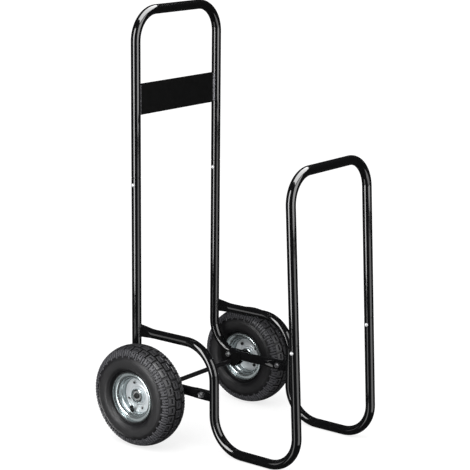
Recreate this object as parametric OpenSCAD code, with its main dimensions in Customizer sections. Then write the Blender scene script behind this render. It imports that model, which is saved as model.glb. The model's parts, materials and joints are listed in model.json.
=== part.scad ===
// Fireside log cart: a two-wheeled hand truck of bent round tube that
// carries firewood indoors.  All sizes are in millimetres.
//
// The cart stands on the floor at z = 0.  Its tall handle is at +Y, its
// short front hoop at -Y, and "left" is the side at -X, as seen from the
// front.  The origin is under the middle of the cart.

/* [Tube] */
// Outside diameter of the frame tube
tube_d = 24; // [20:0.5:28]
// Wall of the frame tube
tube_wall = 1.5; // [1:0.1:2]
// Distance between the tube centres of the left and right sides
frame_w = 312; // [260:1:400]

/* [Rear frame] */
// Height of the handle's top above the floor
handle_h = 1092; // [950:1:1250]
// Height of the joint between the handle and the rear posts
handle_joint_h = 667; // [560:1:720]
// Forward lean of the rear posts and the handle, in degrees
rear_lean = 0.7; // [0:0.1:3]
// Centreline radius of the handle's two corners
handle_bend_r = 74; // [50:1:110]
// From the axle up to the lower arm's centreline, in front of the bend
arm_over_axle = 15.5; // [15:0.5:20]
// Centreline radius of the side bends
side_bend_r = 87; // [60:1:90]

/* [Side loops] */
// Height of the upper arm's centreline
upper_arm_h = 272; // [250:1:330]
// From the rear post forward to the loop's upright
post_to_loop = 254; // [245:1:320]
// From the rear post forward to the front post, at the floor
post_to_toe = 511; // [480:1:600]
// Centreline radius of the bend at the toe
toe_bend_r = 82; // [60:1:100]

/* [Front hoop] */
// Height of the front hoop's top above the floor
hoop_h = 744; // [560:1:850]
// Height of the joint between the hoop and the front posts
hoop_joint_h = 325; // [260:1:380]
// Backward lean of the front posts and the hoop, in degrees
front_lean = 2.3; // [0:0.1:5]
// Centreline radius of the hoop's two corners
hoop_bend_r = 75; // [50:1:110]

/* [Handle plate] */
// Height of the plate
plate_h = 78; // [50:1:120]
// Height of the plate's lower edge above the floor
plate_z = 823; // [770:1:860]
// Thickness of the plate
plate_t = 3; // [2:0.5:5]

/* [Push-in joints] */
// Length of the narrowed tube end that slides into the tube below
insert_len = 56; // [50:1:80]
// Length over which the tube narrows above the joint
swage_len = 9; // [6:1:15]
// Radial clearance between the narrowed end and the tube around it
slide_gap = 0.1; // [0.05:0.05:0.2]
// Diameter of a snap button
button_d = 9; // [7:0.5:10]
// How far a snap button stands out of the tube
button_out = 3.6; // [2.5:0.1:5]
// From the joint down to the button's axis
button_drop = 17.5; // [14:0.5:24]
// Thickness of the button's leaf spring
spring_t = 0.8; // [0.5:0.1:1]
// Width of the button's leaf spring
spring_w = 8; // [6:0.5:9]

/* [Pressed tube ends] */
// Length of the tapering stretch of a pressed end
press_taper = 34; // [20:1:44]
// Length of the lower arm's flat stretch
press_flat = 33; // [32:1:38]
// Height of the lower arm's end
press_h = 28; // [26:0.5:34]
// Thickness of the lower arm's end
press_w = 10; // [8:0.5:12]
// Height of the upper arm's end, at the rear post
weld_end_h = 33; // [28:0.5:34]
// Thickness of the upper arm's end, at the rear post
weld_end_w = 8; // [7:0.5:14]
// Length over which the upper arm's end is pressed
weld_end_len = 52; // [35:1:58]
// Height of the tab that joins the lower arm to the loop
tab_h = 17; // [14:0.5:18]
// From the loop's upright back to the arm bolt
loop_to_bolt = 37; // [32:1:40]

/* [Axle] */
// Diameter of the axle
axle_d = 12; // [10:0.5:14]
// From the rear post forward to the axle
post_to_axle = 66; // [60:1:75]
// From a side tube's centre out to the middle plane of its wheel
wheel_out = 65.5; // [62:0.5:90]
// Sheet of the axle brackets
bracket_t = 3; // [2:0.5:4]
// Length of an axle bracket along its top edge
bracket_top_len = 62; // [56:1:76]
// Length of an axle bracket's flat bottom
bracket_bottom_len = 24; // [18:1:40]
// From the axle down to the bracket's bottom
bracket_drop = 13; // [11:0.5:24]
// Diameter of the spacer tube between bracket and wheel
spacer_d = 20; // [15.5:0.5:22]
// Diameter of the washer outside each wheel
end_washer_d = 25; // [20:0.5:28]
// Diameter of the cap on the axle's end
cap_d = 15.4; // [14.5:0.1:18]
// How far the cap stands out of its washer
cap_out = 4.6; // [4:0.1:8]

/* [Bolts] */
// Diameter of the frame bolts
bolt_d = 8; // [6:1:8]
// Width of a frame bolt's head and nut across the flats
bolt_af = 13; // [12:0.5:14]
// Height of a frame bolt's head
bolt_head_h = 5.3; // [4:0.1:6]
// Height of a frame nut
nut_h = 6.5; // [5:0.1:7]
// Outside diameter of the frame washers
washer_d = 16; // [15:0.5:20]
// Thickness of the washers
washer_t = 1.6; // [1:0.1:2]

/* [Tyre] */
// Outside diameter of the tyre over its tread
wheel_d = 260; // [256:1:268]
// Width of the tyre at its sidewalls
tyre_w = 85; // [80:1:88]
// Radius of the sidewall's bulge
sidewall_r = 22.5; // [20:0.5:25]
// Thickness of the sidewall
sidewall_t = 5.5; // [4:0.5:7]
// Radius of the crown across the tyre
crown_r = 66; // [55:1:80]
// Depth of the tread grooves
tread_depth = 5; // [3:0.5:6]
// Number of tread blocks around the tyre
tread_n = 32; // [24:4:40]
// Width of the tread grooves
groove_w = 3.4; // [2.5:0.1:5]
// Width of the middle row of blocks
centre_row_w = 19; // [14:1:28]
// Width of the tread, shoulder to shoulder
tread_w = 62; // [58:1:68]

/* [Rim] */
// Sheet of the two rim halves
rim_t = 1.8; // [1.4:0.1:2.4]
// Outside diameter of the rim's flanges
flange_d = 129.6; // [124:0.2:134]
// Diameter of the bead seats
seat_d = 101.8; // [99:0.2:104]
// Diameter of the well between the bead seats
well_d = 94.8; // [90:0.2:97]
// From the middle of the wheel to the flange
flange_out = 26.5; // [24:0.5:28]
// Diameter of the circle of rim bolts
rim_bolt_pcd = 67; // [66:0.5:70]
// Diameter of the rim bolts
rim_bolt_d = 5; // [5:1:6]
// Width of a rim bolt's head and nut across the flats
rim_bolt_af = 8; // [8:0.5:10]
// Height of a rim bolt's head
rim_head_h = 3.4; // [3:0.1:4.5]
// Height of a rim nut
rim_nut_h = 4.2; // [3:0.1:5.5]
// Rest angle of the left wheel
left_wheel_angle = 158; // [0:1:359]
// Rest angle of the right wheel
right_wheel_angle = 97; // [0:1:359]

/* [Hub] */
// Outside diameter of the wheel bearings
bearing_d = 32; // [30:0.5:32]
// Width of a wheel bearing
bearing_w = 7.5; // [7:0.5:10]
// Distance between the two bearings of a wheel
bearing_gap = 2; // [2:0.5:4]
// From the middle of the wheel to the edge of its bearing cup
cup_out = 12.5; // [10:0.5:15]
// Radius of the ring embossed in the rim's disc
emboss_r = 24; // [23:0.5:25]
// Width of the embossed ring at the disc
emboss_w = 6; // [4:0.5:6]
// Height of the embossed ring over the disc
emboss_h = 1.2; // [0.6:0.1:1.4]
// Outside diameter of the ring between the bearings
ring_d = 17; // [15:0.5:20]

/* [Valve] */
// Lean of the valve stem out of the wheel's middle plane, in degrees
valve_lean = 30; // [0:1:35]
// Diameter of the valve stem
valve_d = 9; // [7:0.5:9.5]
// Diameter of the valve cap
valve_cap_d = 10.4; // [9.6:0.1:11]
// Length of the valve stem inside the rim
valve_len = 13; // [10:0.5:14]
// Length of the valve cap
valve_cap_len = 8; // [6:0.5:9]

/* [Hidden] */
$fn = 64;
left = -1;
right = 1;
// Radial gap of a hole round its bolt, shaft or stem
hole_gap = 0.2;
// Radial running clearance of the bearings and rings on the axle
run_gap = 0.05;
// Gap between parts that turn past each other
side_gap = 0.3;
// Gap between a tyre, its inner tube and the rim
rubber_gap = 0.3;

// Width and height of the hairline ring at the end of a bend
seam_w = 0.6;
seam_out = 0.04;

tube_r = tube_d / 2;
bore_d = tube_d - 2 * tube_wall;
insert_d = bore_d - 2 * slide_gap;
insert_bore_d = insert_d - 2 * tube_wall;

// The rearmost point is the tyre's, the foremost one is on the toe bend
wheel_r = wheel_d / 2;
toe_tangent = toe_bend_r * tan((90 + front_lean) / 2);
back_reach = wheel_r - post_to_axle;
front_reach = post_to_toe - toe_tangent + toe_bend_r + tube_r;
post_y = (front_reach - back_reach) / 2;
loop_y = post_y - post_to_loop;
toe_y = post_y - post_to_toe;
axle_y = post_y - post_to_axle;
axle_h = wheel_r;
lower_arm_h = axle_h + arm_over_axle;
track = frame_w + 2 * wheel_out;

// The lower arm's bend: where it leaves the arm and meets the post
rear_tangent = side_bend_r * tan((90 + rear_lean) / 2);
rear_corner_y = post_y + tan(rear_lean) * (upper_arm_h - lower_arm_h);
arm_bend_y = rear_corner_y - rear_tangent;
// Height of the bent tube's centreline over a point y behind arm_bend_y
function bend_h(y) = lower_arm_h + side_bend_r
    - sqrt(pow(side_bend_r, 2) - pow(max(0, y - arm_bend_y), 2));

// A gap of 1.2 mm stays between the pressed end and the loop's upright
arm_end_gap = 1.2;
arm_end_y = loop_y + tube_r + arm_end_gap;
arm_bolt_y = loop_y + loop_to_bolt;
// The tab fills the pressed end but for a little play, and ends past the bolt
tab_play = 0.2;
tab_t = press_w - 2 * tube_wall - tab_play;
tab_over = 11;
// How far the upper arm's pressed end reaches into the post's middle, and
// how much higher than the arm its middle lies
weld_start = tube_r - 4;
weld_end_lift = 1.5;
// How far a bolt's end stands out of its nut
bolt_over = 2;
rim_bolt_over = 0.6;

// Axle bracket, folded from sheet round the underside of the arm
bracket_gap = 0.05;
bracket_in = tube_r + bracket_gap;
bracket_out = bracket_in + bracket_t;
bracket_bolt_back = 5;
bracket_bolt_y = axle_y + bracket_bolt_back;
bracket_bolt_h = bend_h(bracket_bolt_y);
bracket_over_bolt = 8;
bracket_top = bracket_bolt_h + bracket_over_bolt;

// Along the axle, from the middle of a wheel outwards
end_washer_t = 2;
cap_wall = 1.6;
washer_in = bearing_gap / 2 + bearing_w + side_gap;
cap_in = washer_in + end_washer_t;
axle_end = cap_in + cap_out - cap_wall;

// Tyre section: centres and half heights of the sidewall's bulge and of the
// cavity, as shares of the section's height over its bead seat
section_h = wheel_r - seat_d / 2;
bulge_share = 0.52;
bulge_h_share = 0.285;
cavity_share = 0.557;
cavity_h_share = 0.254;
bead_share = 0.19;
shoulder_share = 0.222;
bulge_r = seat_d / 2 + bulge_share * section_h;
bulge_h = bulge_h_share * section_h;
bulge_u = tyre_w / 2 - sidewall_r;
cavity_r = seat_d / 2 + cavity_share * section_h;
cavity_h = cavity_h_share * section_h;
cavity_w = sidewall_r - sidewall_t + 3;
cavity_u = tyre_w / 2 - sidewall_t - cavity_w;
bead_top = seat_d / 2 + bead_share * section_h;
shoulder_u = tread_w / 2;
shoulder_drop = shoulder_share * section_h;
shoulder_out = 5.3;
// Angles at which the sidewall's bulge starts at the bead and ends at the
// shoulder, and at which the cavity ends at the bead
bulge_from = 150;
bulge_to = 55;
cavity_to = 155;
// From the middle of the wheel to the bead's toe, and where the well's wall
// starts to rise to it
bead_u = 15.5;
well_u = bead_u - 2.4;
// Slopes of the grooves between the lugs and of the notches in them
lug_slope = 29;
notch_slope = 61;

// The valve's cap covers the narrower upper part of the stem
valve_stem_d = valve_d - 2;
cap_over = 0.45 * valve_len;

// ---------------------------------------------------------------- tube work

// A straight tube along +Z; the next stretch starts at its far end
module straight(length) {
    difference() {
        cylinder(d = tube_d, h = length);
        translate([0, 0, -1]) cylinder(d = bore_d, h = length + 2);
    }
    translate([0, 0, length]) children();
}

// A hairline ring where two stretches of one tube run into each other
module seam() {
    translate([0, 0, -seam_w / 2]) difference() {
        cylinder(d = tube_d + 2 * seam_out, h = seam_w);
        translate([0, 0, -1]) cylinder(d = bore_d - 2 * seam_out, h = seam_w + 2);
    }
}

// A bend from +Z towards +X; the next stretch starts at its far end
module bend(r, angle) {
    translate([r, 0, 0]) rotate([90, 0, 0]) rotate([0, 0, 180 - angle])
        rotate_extrude(angle = angle) translate([r, 0]) difference() {
            circle(d = tube_d);
            circle(d = bore_d);
        }
    seam();
    translate([r - r * cos(angle), 0, r * sin(angle)])
        rotate([0, angle, 0]) {
            seam();
            children();
        }
}

// Points of an oval round [x, y], from one angle to another
function oval(x, y, rx, ry, from, to, steps = 8) = [
    for (i = [0:steps]) let (a = from + (to - from) * i / steps)
        [x + rx * cos(a), y + ry * sin(a)]
];
function arc(x, y, r, from, to, steps = 8) = oval(x, y, r, r, from, to, steps);

// A slot-shaped outline, long along X
module slot(length, width) {
    r = width / 2;
    x = (length - width) / 2 + 0.01;
    polygon(concat(arc(x, 0, r, -90, 90, 12), arc(-x, 0, r, 90, 270, 12)));
}

// A thin slice of tube, pressed from round to length by width and shifted
// sideways by the lift
slice_t = 0.2;
module slice(z, length, width, lift) {
    translate([-lift, 0, z]) linear_extrude(slice_t) slot(length, width);
}

// The stretch between two slices; from and to are [z, length, width], and
// the first slice is shifted by the lift
module pressed(from, to, lift = 0) {
    walls = 2 * tube_wall;
    difference() {
        hull() {
            slice(from[0], from[1], from[2], lift);
            slice(to[0] - slice_t, to[1], to[2], 0);
        }
        hull() {
            slice(from[0] - slice_t, from[1] - walls, from[2] - walls, lift);
            slice(to[0], to[1] - walls, to[2] - walls, 0);
        }
    }
}

// A pressed stretch of constant section, from z = 0
module pressed_flat(z, length, width) {
    linear_extrude(z) difference() {
        slot(length, width);
        slot(length - 2 * tube_wall, width - 2 * tube_wall);
    }
}

// The narrowed end below a joint, with the swage above it
module insert_end() {
    rotate_extrude() polygon([
        [insert_bore_d / 2, -insert_len], [insert_d / 2, -insert_len],
        [insert_d / 2, 0], [tube_r, 0], [tube_r, swage_len],
        [bore_d / 2, swage_len], [insert_bore_d / 2, 0]
    ]);
}

// Hole for a snap button in the tube wall at -X, below a joint
module button_hole() {
    translate([0, 0, -button_drop]) rotate([0, -90, 0])
        cylinder(d = button_d + 2 * hole_gap, h = tube_d);
}

// An upside-down U of tube with both ends narrowed, from its left foot
module tube_u(rise, corner_r) {
    difference() {
        union() {
            for (foot = [0, frame_w]) translate([foot, 0, 0]) insert_end();
            translate([0, 0, swage_len])
                straight(rise - corner_r - swage_len) bend(corner_r, 90)
                straight(frame_w - 2 * corner_r) bend(corner_r, 90)
                straight(rise - corner_r - swage_len);
        }
        for (foot = [0, frame_w]) translate([foot, 0, 0]) button_hole();
    }
}

// Places its children at the handle's joint on the rear posts' line
module at_handle_joint() {
    translate([0, post_y - tan(rear_lean) * (handle_joint_h - upper_arm_h),
        handle_joint_h]) rotate([rear_lean, 0, 0]) children();
}

// Places its children at the hoop's joint on the front posts' line
module at_hoop_joint() {
    translate([0, toe_y + tan(front_lean) * (hoop_joint_h - tube_r),
        hoop_joint_h]) rotate([-front_lean, 0, 0]) children();
}

// Places its children on the left or right side's centre plane
module on_side(side) {
    translate([side * frame_w / 2, 0, 0]) children();
}

// --------------------------------------------------------------- rear frame

module upper_handle() {
    rise = (handle_h - tube_r - handle_joint_h) / cos(rear_lean);
    color("#17181a") on_side(left) at_handle_joint()
        tube_u(rise, handle_bend_r);
}

// A flat sheet between the handle's legs, coped round both tubes
module handle_plate() {
    lower = (plate_z - handle_joint_h) / cos(rear_lean);
    color("#101112") at_handle_joint() difference() {
        translate([-frame_w / 2, -plate_t / 2, lower])
            cube([frame_w, plate_t, plate_h]);
        for (side = [left, right])
            translate([side * frame_w / 2, 0, lower - 1])
                cylinder(d = tube_d, h = plate_h + 2);
    }
}

// One tube: the post, the bend under it and the forward lower arm, whose
// end is pressed flat over the tab and drilled for the arm bolt
module rear_post(side) {
    press_len = press_taper + press_flat;
    arm_len = arm_bend_y - arm_end_y - press_len;
    post_len = (handle_joint_h - lower_arm_h) / cos(rear_lean) - rear_tangent;
    color("#17181a") difference() {
        union() {
            on_side(side) translate([0, arm_end_y, lower_arm_h])
                rotate([-90, 0, 0]) rotate([0, 0, -90]) {
                    pressed_flat(press_flat, press_h, press_w);
                    pressed([press_flat, press_h, press_w],
                        [press_len, tube_d, tube_d]);
                    translate([0, 0, press_len]) {
                        seam();
                        straight(arm_len) bend(side_bend_r, 90 + rear_lean)
                            straight(post_len);
                    }
                }
        }
        on_side(side) at_handle_joint() button_hole();
        arm_bolt_hole(side);
        bracket_bolt_hole(side);
        axle_hole();
    }
}

module arm_bolt_hole(side) {
    on_side(side) translate([0, arm_bolt_y, lower_arm_h]) rotate([0, 90, 0])
        cylinder(d = bolt_d + 2 * hole_gap, h = tube_d + 2, center = true);
}

// Cutter for the axle, which also lets it rest in the arms' underside
module axle_hole() {
    translate([-track, axle_y, axle_h]) rotate([0, 90, 0])
        cylinder(d = axle_d + 2 * run_gap, h = 2 * track);
}

module bracket_bolt_hole(side) {
    on_side(side) translate([0, bracket_bolt_y, bracket_bolt_h])
        rotate([0, 90, 0])
            cylinder(d = bolt_d + 2 * hole_gap, h = 2 * bracket_out + 2,
                center = true);
}

// --------------------------------------------------------------- side loops

// One tube: upper arm, upright, floor run and front post.  Its rear end is
// pressed tall, coped round the rear post and welded there
module side_loop(side) {
    arm_len = post_to_loop - side_bend_r - weld_start - weld_end_len;
    upright_len = upper_arm_h - tube_r - 2 * side_bend_r;
    floor_len = post_to_toe - post_to_loop - side_bend_r - toe_tangent;
    front_len = (hoop_joint_h - tube_r) / cos(front_lean) - toe_tangent;
    color("#17181a") difference() {
        on_side(side) translate([0, post_y, upper_arm_h])
            rotate([90, 0, 0]) rotate([0, 0, -90]) {
                pressed([weld_start, weld_end_h, weld_end_w],
                    [weld_start + weld_end_len, tube_d, tube_d], weld_end_lift);
                translate([0, 0, weld_start + weld_end_len]) {
                    seam();
                    straight(arm_len) bend(side_bend_r, 90)
                        rotate([0, 0, 180]) straight(upright_len)
                        bend(side_bend_r, 90) straight(floor_len)
                        bend(toe_bend_r, 90 + front_lean) straight(front_len);
                }
            }
        on_side(side) at_handle_joint() translate([0, 0, -handle_joint_h])
            cylinder(d = tube_d, h = handle_joint_h);
        on_side(side) at_hoop_joint() button_hole();
    }
}

module front_hoop() {
    rise = (hoop_h - tube_r - hoop_joint_h) / cos(front_lean);
    color("#17181a") on_side(left) at_hoop_joint() tube_u(rise, hoop_bend_r);
}

// ------------------------------------------------------------- snap buttons

// The button's flange rests inside the narrowed tube end
function flange_seat() = sqrt(pow(insert_bore_d / 2, 2)
    - pow(button_flange_d() / 2, 2)) - 0.1;
function button_flange_d() = button_d + 2.4;
flange_t = 1;

// A domed pin with a flange, pointing to -X
module snap_button() {
    tip = tube_r + button_out;
    dome_r = button_d / 2;
    dome_h = min(button_out - 0.4, dome_r * 0.75);
    ball_r = (dome_r * dome_r + dome_h * dome_h) / (2 * dome_h);
    rotate([0, -90, 0]) {
        translate([0, 0, flange_seat() - flange_t])
            cylinder(d = button_flange_d(), h = flange_t);
        translate([0, 0, flange_seat()]) intersection() {
            cylinder(d = button_d, h = tip - flange_seat());
            translate([0, 0, tip - flange_seat() - ball_r]) sphere(r = ball_r);
        }
    }
}

// A hairpin of spring strip: one leg behind the button, the other on the
// far wall of the narrowed tube end
module snap_spring() {
    far_x = sqrt(pow(insert_bore_d / 2, 2) - pow(spring_w / 2, 2)) - 0.1;
    near_x = -(flange_seat() - flange_t);
    outer_r = (far_x - near_x) / 2;
    leg_len = insert_len - button_drop - outer_r - 4;
    over = 5;
    translate([(far_x + near_x) / 2, 0, 0]) rotate([90, 0, 0])
        linear_extrude(spring_w, center = true) {
            for (side = [left, right])
                translate([side * (outer_r - spring_t / 2) - spring_t / 2,
                    -leg_len]) square([spring_t, leg_len + over]);
            translate([0, -leg_len]) intersection() {
                difference() {
                    circle(r = outer_r);
                    circle(r = outer_r - spring_t);
                }
                translate([-outer_r, -outer_r]) square([2 * outer_r, outer_r]);
            }
        }
}

module handle_button(side) {
    color("#d6d8da") on_side(side) at_handle_joint()
        translate([0, 0, -button_drop]) snap_button();
}

module hoop_button(side) {
    color("#d6d8da") on_side(side) at_hoop_joint()
        translate([0, 0, -button_drop]) snap_button();
}

module handle_spring(side) {
    color("#9a9ea3") on_side(side) at_handle_joint()
        translate([0, 0, -button_drop]) snap_spring();
}

module hoop_spring(side) {
    color("#9a9ea3") on_side(side) at_hoop_joint()
        translate([0, 0, -button_drop]) snap_spring();
}

// ------------------------------------------------------ bolts of the frame

// A hexagon with a chamfered rim on its far side
module hexagon(af, h) {
    intersection() {
        cylinder(d = af / cos(30), h = h, $fn = 6);
        union() {
            cylinder(d = af / cos(30) + 1, h = h - af / 18);
            translate([0, 0, h - af / 18])
                cylinder(d1 = af / cos(30), d2 = af * 0.96, h = af / 18);
        }
    }
}

// A hexagon bolt: its head grows to -Z from its seat at 0
module bolt(d, af, head_h, length) {
    mirror([0, 0, 1]) hexagon(af, head_h);
    cylinder(d = d, h = length);
}

// A hexagon nut on +Z of its seat at 0
module nut(d, af, h) {
    difference() {
        hexagon(af, h);
        translate([0, 0, -1]) cylinder(d = d, h = h + 2);
    }
}

// A ring along +Z
module ring(outer_d, inner_d, h) {
    difference() {
        cylinder(d = outer_d, h = h);
        translate([0, 0, -1]) cylinder(d = inner_d, h = h + 2);
    }
}

// Turns +Z inwards along X at the arm bolt of one side
module at_arm_bolt(side) {
    on_side(side) translate([0, arm_bolt_y, lower_arm_h])
        rotate([0, -side * 90, 0]) children();
}

// Turns +Z inwards along X at the bracket bolt of one side
module at_bracket_bolt(side) {
    on_side(side) translate([0, bracket_bolt_y, bracket_bolt_h])
        rotate([0, -side * 90, 0]) children();
}

// Plate welded to the back of the loop's upright; the arm's pressed end
// slips over it
module arm_tab(side) {
    color("#1d1e20") difference() {
        on_side(side) translate([-tab_t / 2, loop_y, lower_arm_h - tab_h / 2])
            cube([tab_t, loop_to_bolt + tab_over, tab_h]);
        on_side(side) translate([0, loop_y, 0])
            cylinder(d = tube_d, h = upper_arm_h);
        arm_bolt_hole(side);
    }
}

// Each arm bolt has its head and a washer on the cart's outer side
module arm_bolts() {
    length = press_w + washer_t + nut_h + bolt_over;
    color("#c9ccce") for (side = [left, right]) at_arm_bolt(side)
        translate([0, 0, -press_w / 2 - washer_t])
            bolt(bolt_d, bolt_af, bolt_head_h, length);
}

module arm_washers() {
    color("#b9bdc0") for (side = [left, right]) at_arm_bolt(side)
        translate([0, 0, -press_w / 2 - washer_t])
            ring(washer_d, bolt_d + 2 * hole_gap, washer_t);
}

module arm_nuts() {
    color("#c9ccce") for (side = [left, right]) at_arm_bolt(side)
        translate([0, 0, press_w / 2]) nut(bolt_d, bolt_af, nut_h);
}

// --------------------------------------------------------------------- axle

module axle() {
    half = track / 2 + axle_end;
    chamfer = 1;
    color("#1b1c1e") rotate([0, 90, 0]) translate([-axle_h, axle_y, 0])
        rotate_extrude() polygon([
            [0, -half], [axle_d / 2 - chamfer, -half],
            [axle_d / 2, chamfer - half], [axle_d / 2, half - chamfer],
            [axle_d / 2 - chamfer, half], [0, half]
        ]);
}

// A saddle folded from sheet: two cheeks beside the arm and a flat web
// under the axle
module axle_bracket(side) {
    bottom = axle_h - bracket_drop;
    mid = (bracket_top + bottom) / 2;
    color("#1d1e20") difference() {
        on_side(side) translate([-bracket_out, 0, 0]) rotate([90, 0, 90])
            linear_extrude(2 * bracket_out) polygon([
                [axle_y - bracket_bottom_len / 2, bottom],
                [axle_y + bracket_bottom_len / 2, bottom],
                [axle_y + bracket_top_len / 2, mid],
                [axle_y + bracket_top_len / 2, bracket_top],
                [axle_y - bracket_top_len / 2, bracket_top],
                [axle_y - bracket_top_len / 2, mid]
            ]);
        on_side(side)
            translate([-bracket_in, axle_y - bracket_top_len,
                bottom + bracket_t])
            cube([2 * bracket_in, 2 * bracket_top_len, bracket_top]);
        bracket_bolt_hole(side);
        axle_hole();
    }
}

module bracket_bolts() {
    length = 2 * bracket_out + nut_h + bolt_over;
    color("#d2d5d7") for (side = [left, right]) at_bracket_bolt(side)
        translate([0, 0, -bracket_out])
            bolt(bolt_d, bolt_af, bolt_head_h, length);
}

module bracket_nuts() {
    color("#d2d5d7") for (side = [left, right]) at_bracket_bolt(side)
        translate([0, 0, bracket_out]) nut(bolt_d, bolt_af, nut_h);
}

// Turns +Z outwards along the axle, from the middle plane of one wheel
module at_wheel(side) {
    translate([side * track / 2, axle_y, axle_h]) rotate([0, side * 90, 0])
        children();
}

module axle_spacer(side) {
    length = track / 2 - washer_in - frame_w / 2 - bracket_out;
    color("#1d1e20") at_wheel(side) translate([0, 0, -washer_in - length])
        ring(spacer_d, axle_d + 2 * run_gap, length);
}

module end_washers() {
    color("#c4c8ca") for (side = [left, right]) at_wheel(side)
        translate([0, 0, washer_in])
            ring(end_washer_d, axle_d + 2 * run_gap, end_washer_t);
}

// A closed cap pushed on the axle's end
module axle_cap(side) {
    edge = 1.4;
    color("#141516") at_wheel(side) translate([0, 0, cap_in]) rotate_extrude()
        polygon([
            [axle_d / 2 + run_gap, 0], [cap_d / 2, 0],
            [cap_d / 2, cap_out - edge], [cap_d / 2 - edge, cap_out],
            [0, cap_out], [0, axle_end - cap_in + 0.1],
            [axle_d / 2 + run_gap, axle_end - cap_in + 0.1]
        ]);
}

// -------------------------------------------------------------------- wheel

// Turns a wheel to its rest angle, with its outer side towards +Z
module in_wheel(side) {
    angle = side == left ? left_wheel_angle : right_wheel_angle;
    at_wheel(side) rotate([0, 0, angle]) children();
}

// A half section and its mirror image, as one outline
function reversed(list) = [for (i = [len(list) - 1:-1:0]) list[i]];
function mirrored(list) = [for (p = reversed(list)) [p[0], -p[1]]];
function crown(u) = wheel_r - crown_r + sqrt(crown_r * crown_r - u * u);

// Outside of the tyre from its bead to the middle of its tread, as points
// [radius, distance from the middle plane]
function tyre_outside() = let (
    seat = seat_d / 2 + rubber_gap,
    side_u = flange_out - rim_t / 2 - rubber_gap,
    groove = [centre_row_w / 2 + groove_w, centre_row_w / 2],
    floor_r = wheel_r - tread_depth - 0.5
) concat(
    [[seat, bead_u], [seat, side_u - 3], [seat + 3, side_u - 0.8],
        [flange_d / 2 - 2, side_u], [flange_d / 2 + 2, side_u + 2]],
    oval(bulge_r, bulge_u, bulge_h, sidewall_r, bulge_from, bulge_to, 7),
    [[wheel_r - shoulder_drop, shoulder_u + shoulder_out]],
    [[crown(shoulder_u), shoulder_u], [crown(groove[0]), groove[0]]],
    [[floor_r, groove[0]], [floor_r, groove[1]]],
    [[crown(groove[1]), groove[1]], [crown(4), 4]]
);

// Inside of the tyre from the middle of its tread to its bead; inset is the
// gap to the inner tube, or that gap and the tube's wall
function tyre_inside(inset = 0) = concat(
    [[cavity_r + cavity_h - inset, 0]],
    oval(cavity_r, cavity_u, cavity_h - inset, cavity_w - inset, 0, cavity_to, 10),
    [[bead_top + inset / 2, bead_u - inset]]
);

// Cutter for the cross groove between two lugs, sloping to the shoulder
module lug_groove(angle) {
    rotate([0, 0, angle]) both_sides()
        translate([wheel_r - tread_depth, -groove_w / 2, centre_row_w / 2 + 2])
            rotate([0, -lug_slope, 0]) cube([tread_depth * 3, groove_w, tyre_w / 2]);
}

// Cutter for the shallow notch in the middle of a shoulder lug
module lug_notch(angle) {
    rotate([0, 0, angle]) both_sides()
        translate([crown(shoulder_u) + 1.6, -groove_w / 2, shoulder_u - 3.4])
            rotate([0, -notch_slope, 0]) cube([tread_depth * 2, groove_w, 18]);
}

// Cutter for the cross groove between two blocks of the middle row
module middle_groove(angle) {
    half = (centre_row_w + groove_w) / 2;
    rotate([0, 0, angle])
        translate([wheel_r - tread_depth, -groove_w / 2, -half])
            cube([tread_depth * 2, groove_w, 2 * half]);
}

module tyre(side) {
    pitch = 360 / tread_n;
    seat = seat_d / 2 + rubber_gap;
    outside = tyre_outside();
    inside = concat(tyre_inside(), [[seat, bead_u]]);
    color("#2b2a2c") in_wheel(side) difference() {
        rotate_extrude() polygon(concat(outside, mirrored(outside),
            mirrored(inside), inside));
        for (i = [0:tread_n - 1]) {
            middle_groove((i + 0.5) * pitch);
            lug_groove(i * pitch);
            lug_notch((i + 0.5) * pitch);
        }
    }
}

// The inner tube's outline, and its inside when inset is larger
module tube_section(inset) {
    well = well_d / 2 + rubber_gap + inset;
    half = concat(tyre_inside(inset), [[well, bead_u - 4 - inset]]);
    polygon(concat(half, mirrored(half)));
}

module inner_tube(side) {
    tube_t = 1.6;
    color("#222224") in_wheel(side) rotate_extrude() difference() {
        tube_section(rubber_gap);
        tube_section(rubber_gap + tube_t);
    }
}

// Middle line of one pressed rim half, from the rim of its bearing cup,
// over the disc with its embossed ring, to the rolled lip of its flange
function rim_line() = let (
    disc_u = rim_t / 2,
    cup_r = (bearing_d + rim_t) / 2,
    well_r = (well_d - rim_t) / 2,
    seat_r = (seat_d - rim_t) / 2,
    cup_bend = 2.2,
    well_bend = 3.4,
    seat_bend = 3.6,
    lip_r = 2.6,
    lip_h = (flange_d - rim_t) / 2 - lip_r
) concat(
    [[cup_r, cup_out], [cup_r, disc_u + cup_bend + 0.2]],
    arc(cup_r + cup_bend, disc_u + cup_bend, cup_bend, 180, 270, 3),
    [[emboss_r - emboss_w / 2, disc_u],
        [emboss_r - emboss_w / 4, disc_u + emboss_h],
        [emboss_r + emboss_w / 4, disc_u + emboss_h],
        [emboss_r + emboss_w / 2, disc_u]],
    arc(well_r - well_bend, disc_u + well_bend, well_bend, -90, 0, 5),
    [[well_r, well_u], [seat_r, bead_u]],
    arc(seat_r + seat_bend, flange_out - seat_bend, seat_bend, 180, 90, 4),
    arc(lip_h, flange_out + lip_r, lip_r, -90, 80, 9)
);

// Side of a sheet whose middle line is given: points at distance d from it
function beside(line, d) = [
    for (i = [0:len(line) - 1]) let (
        before = line[max(i - 1, 0)],
        after = line[min(i + 1, len(line) - 1)],
        into = unit(line[i] - (i == 0 ? 2 * line[0] - line[1] : before)),
        out = unit((i == len(line) - 1 ? 2 * line[i] - before : after) - line[i]),
        normal = unit([-into[1] - out[1], into[0] + out[0]])
    ) line[i] + normal * d / max(0.5, normal * [-into[1], into[0]])
];
function unit(v) = v / norm(v);
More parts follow.
